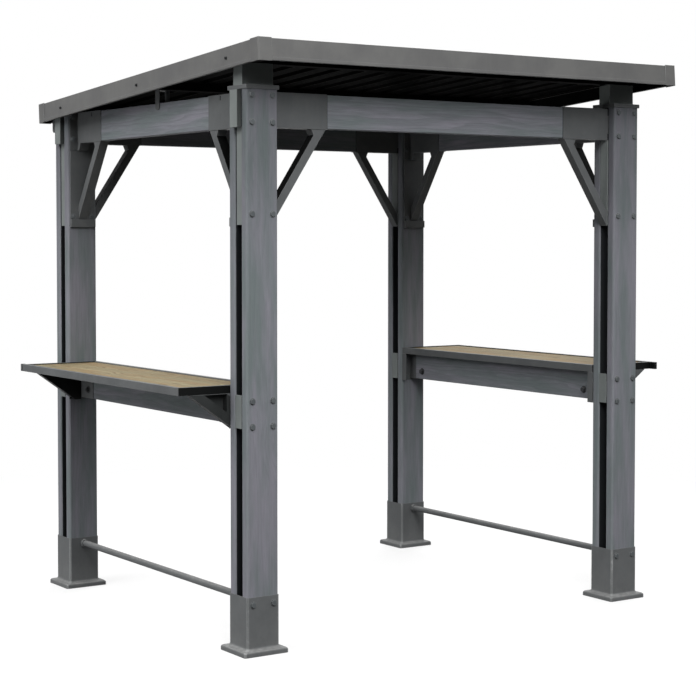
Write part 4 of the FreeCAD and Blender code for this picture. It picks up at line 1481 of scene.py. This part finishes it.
    def drive_screws(self) -> None:
        """Sheet screws on the ribs over each purlin, and fascia screws at the purlins' ends."""
        form = Form()
        for run in self.purlin_runs():
            for x in self.rib_places():
                place = self.on_roof(x, run, self.crown)
                self.screw(form, place, self.up, self.screw_radius, self.washer_radius)
        form.finish("sheet_screws", DARK_BOLT)
        form = Form()
        sizes = (self.fascia_screw_radius, self.fascia_washer_radius)
        for side in Side:
            edge = max(abs(corner.x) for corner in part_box(f"fascia_{side.label}"))
            face = side.value * (edge - self.fascia_lip)
            for run in self.purlin_runs():
                place = self.on_roof(face, run, -self.fascia_screw_drop)
                self.screw(form, place, Axis.X.vector * side.value, *sizes)
        form.finish("fascia_screws", DARK_BOLT)

    def screw(
        self, form: Form, place: Vector, outward: Vector, radius: float, washer: float
    ) -> None:
        """Drive in a small hex-head screw with its washer.

        Args:
            form: The form that it becomes a part of.
            place: Where its washer sits.
            outward: The direction that its head looks in.
            radius: Half its head's width.
            washer: Its washer's radius.
        """
        seat = place + outward * radius * self.washer_rise
        form.bar(place, seat, washer, self.washer_sides, self.washer_taper)
        form.bar(seat, seat + outward * radius * self.head_rise, radius, HEX)


@dataclass(frozen=True)
class BoltSize:
    """The heights of a bolt's head and nut over their seats, and the radius of its washers."""

    head: float
    nut: float
    washer: float


@dataclass
class Fasteners:
    """Bolts with washers and chamfered heads, in the places of the model's bolts."""

    post: BoltSize = BoltSize(head=0.007, nut=0.008, washer=0.0142)
    apron: BoltSize = BoltSize(head=0.014, nut=0.015, washer=0.018)
    shortest_nutted: float = 0.056
    washer_height: float = 0.0016
    washer_sides: int = 28
    head_radius: float = 0.0118
    nut_radius: float = 0.0112
    shank_radius: float = 0.005
    shank_taper: float = 0.85
    shank_sides: int = 16
    shank_proud: float = 0.003
    crown_ease: float = 0.0016

    def build(self) -> None:
        """Post bolts and base screws in the frame's colour, and dark apron bolts."""
        coated, dark = Form(), Form()
        for low, high in Form.copy_of("bolts").islands():
            length = high - low
            middle = (low + high) / 2
            if length.x > length.y:
                form, size = dark, self.apron
                outward = Axis.X.vector * -math.copysign(1.0, middle.x)
            else:
                form, size = coated, self.post
                outward = Axis.Y.vector * math.copysign(1.0, middle.y)
            reach = max(length.x, length.y) / 2
            form.add(self.head(middle + outward * (reach - self.post.head), outward, size))
            if 2 * reach > self.shortest_nutted:
                form.add(self.nut(middle - outward * (reach - self.post.nut), -outward, size))
        coated.finish("post_bolts", BOLT_COAT, "bolts")
        dark.finish("apron_bolts", APRON_BOLT, "bolts")

    def on_washer(self, seat: Vector, top: Vector, washer: float, radius: float) -> Form:
        """A hexagon up to its top, on a washer."""
        face = seat + (top - seat).normalized() * self.washer_height
        return Form().bar(seat, face, washer, self.washer_sides).bar(face, top, radius, HEX)

    def head(self, seat: Vector, outward: Vector, size: BoltSize) -> Form:
        """A bolt head on its washer."""
        form = self.on_washer(seat, seat + outward * size.head, size.washer, self.head_radius)
        return form.ease(self.crown_ease, chosen=lambda edge: not along(edge, outward))

    def nut(self, seat: Vector, outward: Vector, size: BoltSize) -> Form:
        """A nut on its washer, with the end of the shank in it.

        Args:
            seat: Where its washer sits.
            outward: The direction that it looks in.
            size: The bolt's size.

        Returns:
            The nut's form.
        """
        tip = seat + outward * size.nut
        top = tip - outward * self.shank_proud
        form = self.on_washer(seat, top, size.washer, self.nut_radius)
        form.ease(self.crown_ease / 2, 2, lambda edge: not along(edge, outward))
        shank = Form().bar(top, tip, self.shank_radius, self.shank_sides, self.shank_taper)
        return form.add(shank)


@dataclass(frozen=True)
class Lamp:
    """A square soft lamp, with the length of its sides and its power in watts."""

    name: str
    place: Triple
    size: float
    power: float

    def hang(self) -> None:
        """Hang the lamp so that it looks at the gazebo."""
        data = bpy.data.lights.new(self.name, "AREA")
        data.size = self.size
        data.energy = self.power
        lamp = put_in_scene(self.name, data)
        lamp.location = self.place
        aim = (CAD_BOX[0] + CAD_BOX[1]) / 2
        lamp.rotation_euler = (aim - Vector(self.place)).to_track_quat("-Z", "Y").to_euler()


@dataclass
class Studio:
    """Pale floor, soft light and the camera."""

    floor_half: float = 40.0
    floor_drop: float = 0.0006
    floor_white: float = 0.68
    floor_fade: Span = (2.2, 4.5)
    floor_light: Colour = srgb(52, 52, 52)
    paper: tuple[Colour, Colour] = (srgb(246, 246, 246), srgb(250, 250, 250))
    paper_noise: Span = (3.0, 3.0)
    paper_roughness: float = 0.9
    sky: float = 0.9
    horizon: Span = (0.06, 0.4)
    lamps: tuple[Lamp, ...] = (
        Lamp("front_window", (-1.8, -5.2, 5.2), 3.2, 300.0),
        Lamp("left_window", (-6.0, 0.4, 5.6), 3.6, 215.0),
        Lamp("left_panel", (-5.0, 1.0, 0.7), 1.2, 36.0),
        Lamp("back_window", (5.2, 5.4, 5.8), 4.0, 320.0),
    )
    camera_place: Triple = (-4.6585, -6.9356, 1.7084)
    camera_pitch: float = math.radians(90.0 - 2.31)
    camera_yaw: float = math.radians(-33.7425)
    lens: float = 91.89
    shift: Span = (0.0069, -0.0656)

    def build(self) -> None:
        """Set the stage."""
        bpy.context.scene.view_settings.view_transform = "Standard"
        self.lay_floor()
        self.light_room()
        for lamp in self.lamps:
            lamp.hang()
        self.place_camera()

    def lay_floor(self) -> None:
        """A floor that is white to the camera and keeps the gazebo's shadow."""
        form = bmesh.new()
        bmesh.ops.create_grid(form, x_segments=1, y_segments=1, size=self.floor_half)
        bmesh.ops.translate(form, verts=form.verts, vec=(0.0, 0.0, -self.floor_drop))
        mesh = bpy.data.meshes.new("studio_floor")
        form.to_mesh(mesh)
        form.free()
        mesh.materials.append(self.floor_paper())
        floor = put_in_scene("studio_floor", mesh)

    def floor_paper(self) -> Material:
        """The floor's white paper, which gives back little light.

        Returns:
            A material that fades to pure white away from the gazebo.
        """
        material, wires = new_material("studio_floor_paper")
        seen = wires.seen()
        tone = wires.noise(wires.object_place(), *self.paper_noise)
        colour = wires.blend(seen, self.floor_light, wires.blend(tone, *self.paper))
        feeds = {"Base Color": colour, "Roughness": self.paper_roughness}
        paper = wires.add("BsdfPrincipled", feeds).outputs["BSDF"]
        white = wires.add("Emission", {"Color": WHITE, "Strength": 1.0}).outputs[0]
        away = wires.add("VectorMath", {0: wires.object_place()}, operation="LENGTH")
        lost = wires.ease(away.outputs["Value"], *self.floor_fade, self.floor_white, 1.0)
        mixed = wires.add("MixShader", {0: wires.times(seen, lost), 1: paper, 2: white})
        wires.add("OutputMaterial", {"Surface": mixed.outputs[0]})
        return material

    def light_room(self) -> None:
        """A white backdrop that lights the object softly."""
        world = bpy.data.worlds.new("studio_room")
        world.use_nodes = True
        world.node_tree.nodes.clear()
        wires = Wiring(world.node_tree)
        height = wires.height_of(wires.add("TexCoord").outputs["Generated"])
        light = wires.ease(height, *self.horizon, 0.0, self.sky)
        strength = wires.ease(wires.seen(), 0.0, 1.0, light, 1.0)
        backdrop = wires.add("Background", {"Color": WHITE, "Strength": strength})
        wires.add("OutputWorld", {"Surface": backdrop.outputs[0]})
        bpy.context.scene.world = world

    def place_camera(self) -> None:
        """The camera at the photograph's view."""
        data = bpy.data.cameras.new("photograph_view")
        data.lens = self.lens
        data.shift_x, data.shift_y = self.shift
        camera = put_in_scene("photograph_view", data)
        camera.location = self.camera_place
        camera.rotation_euler = (self.camera_pitch, 0.0, self.camera_yaw)
        bpy.context.scene.camera = camera


def main() -> None:
    """Build the gazebo's sub-assemblies in order, then the studio."""
    logging.basicConfig(level=logging.INFO, format="%(name)s: %(message)s")
    for kind in (Boards, FlaredBases, CoatedSteel, Counters, FootRails, Roof, Fasteners, Studio):
        kind().build()
        LOG.info("%s built", kind.__name__)


if __name__ == "__main__":
    main()
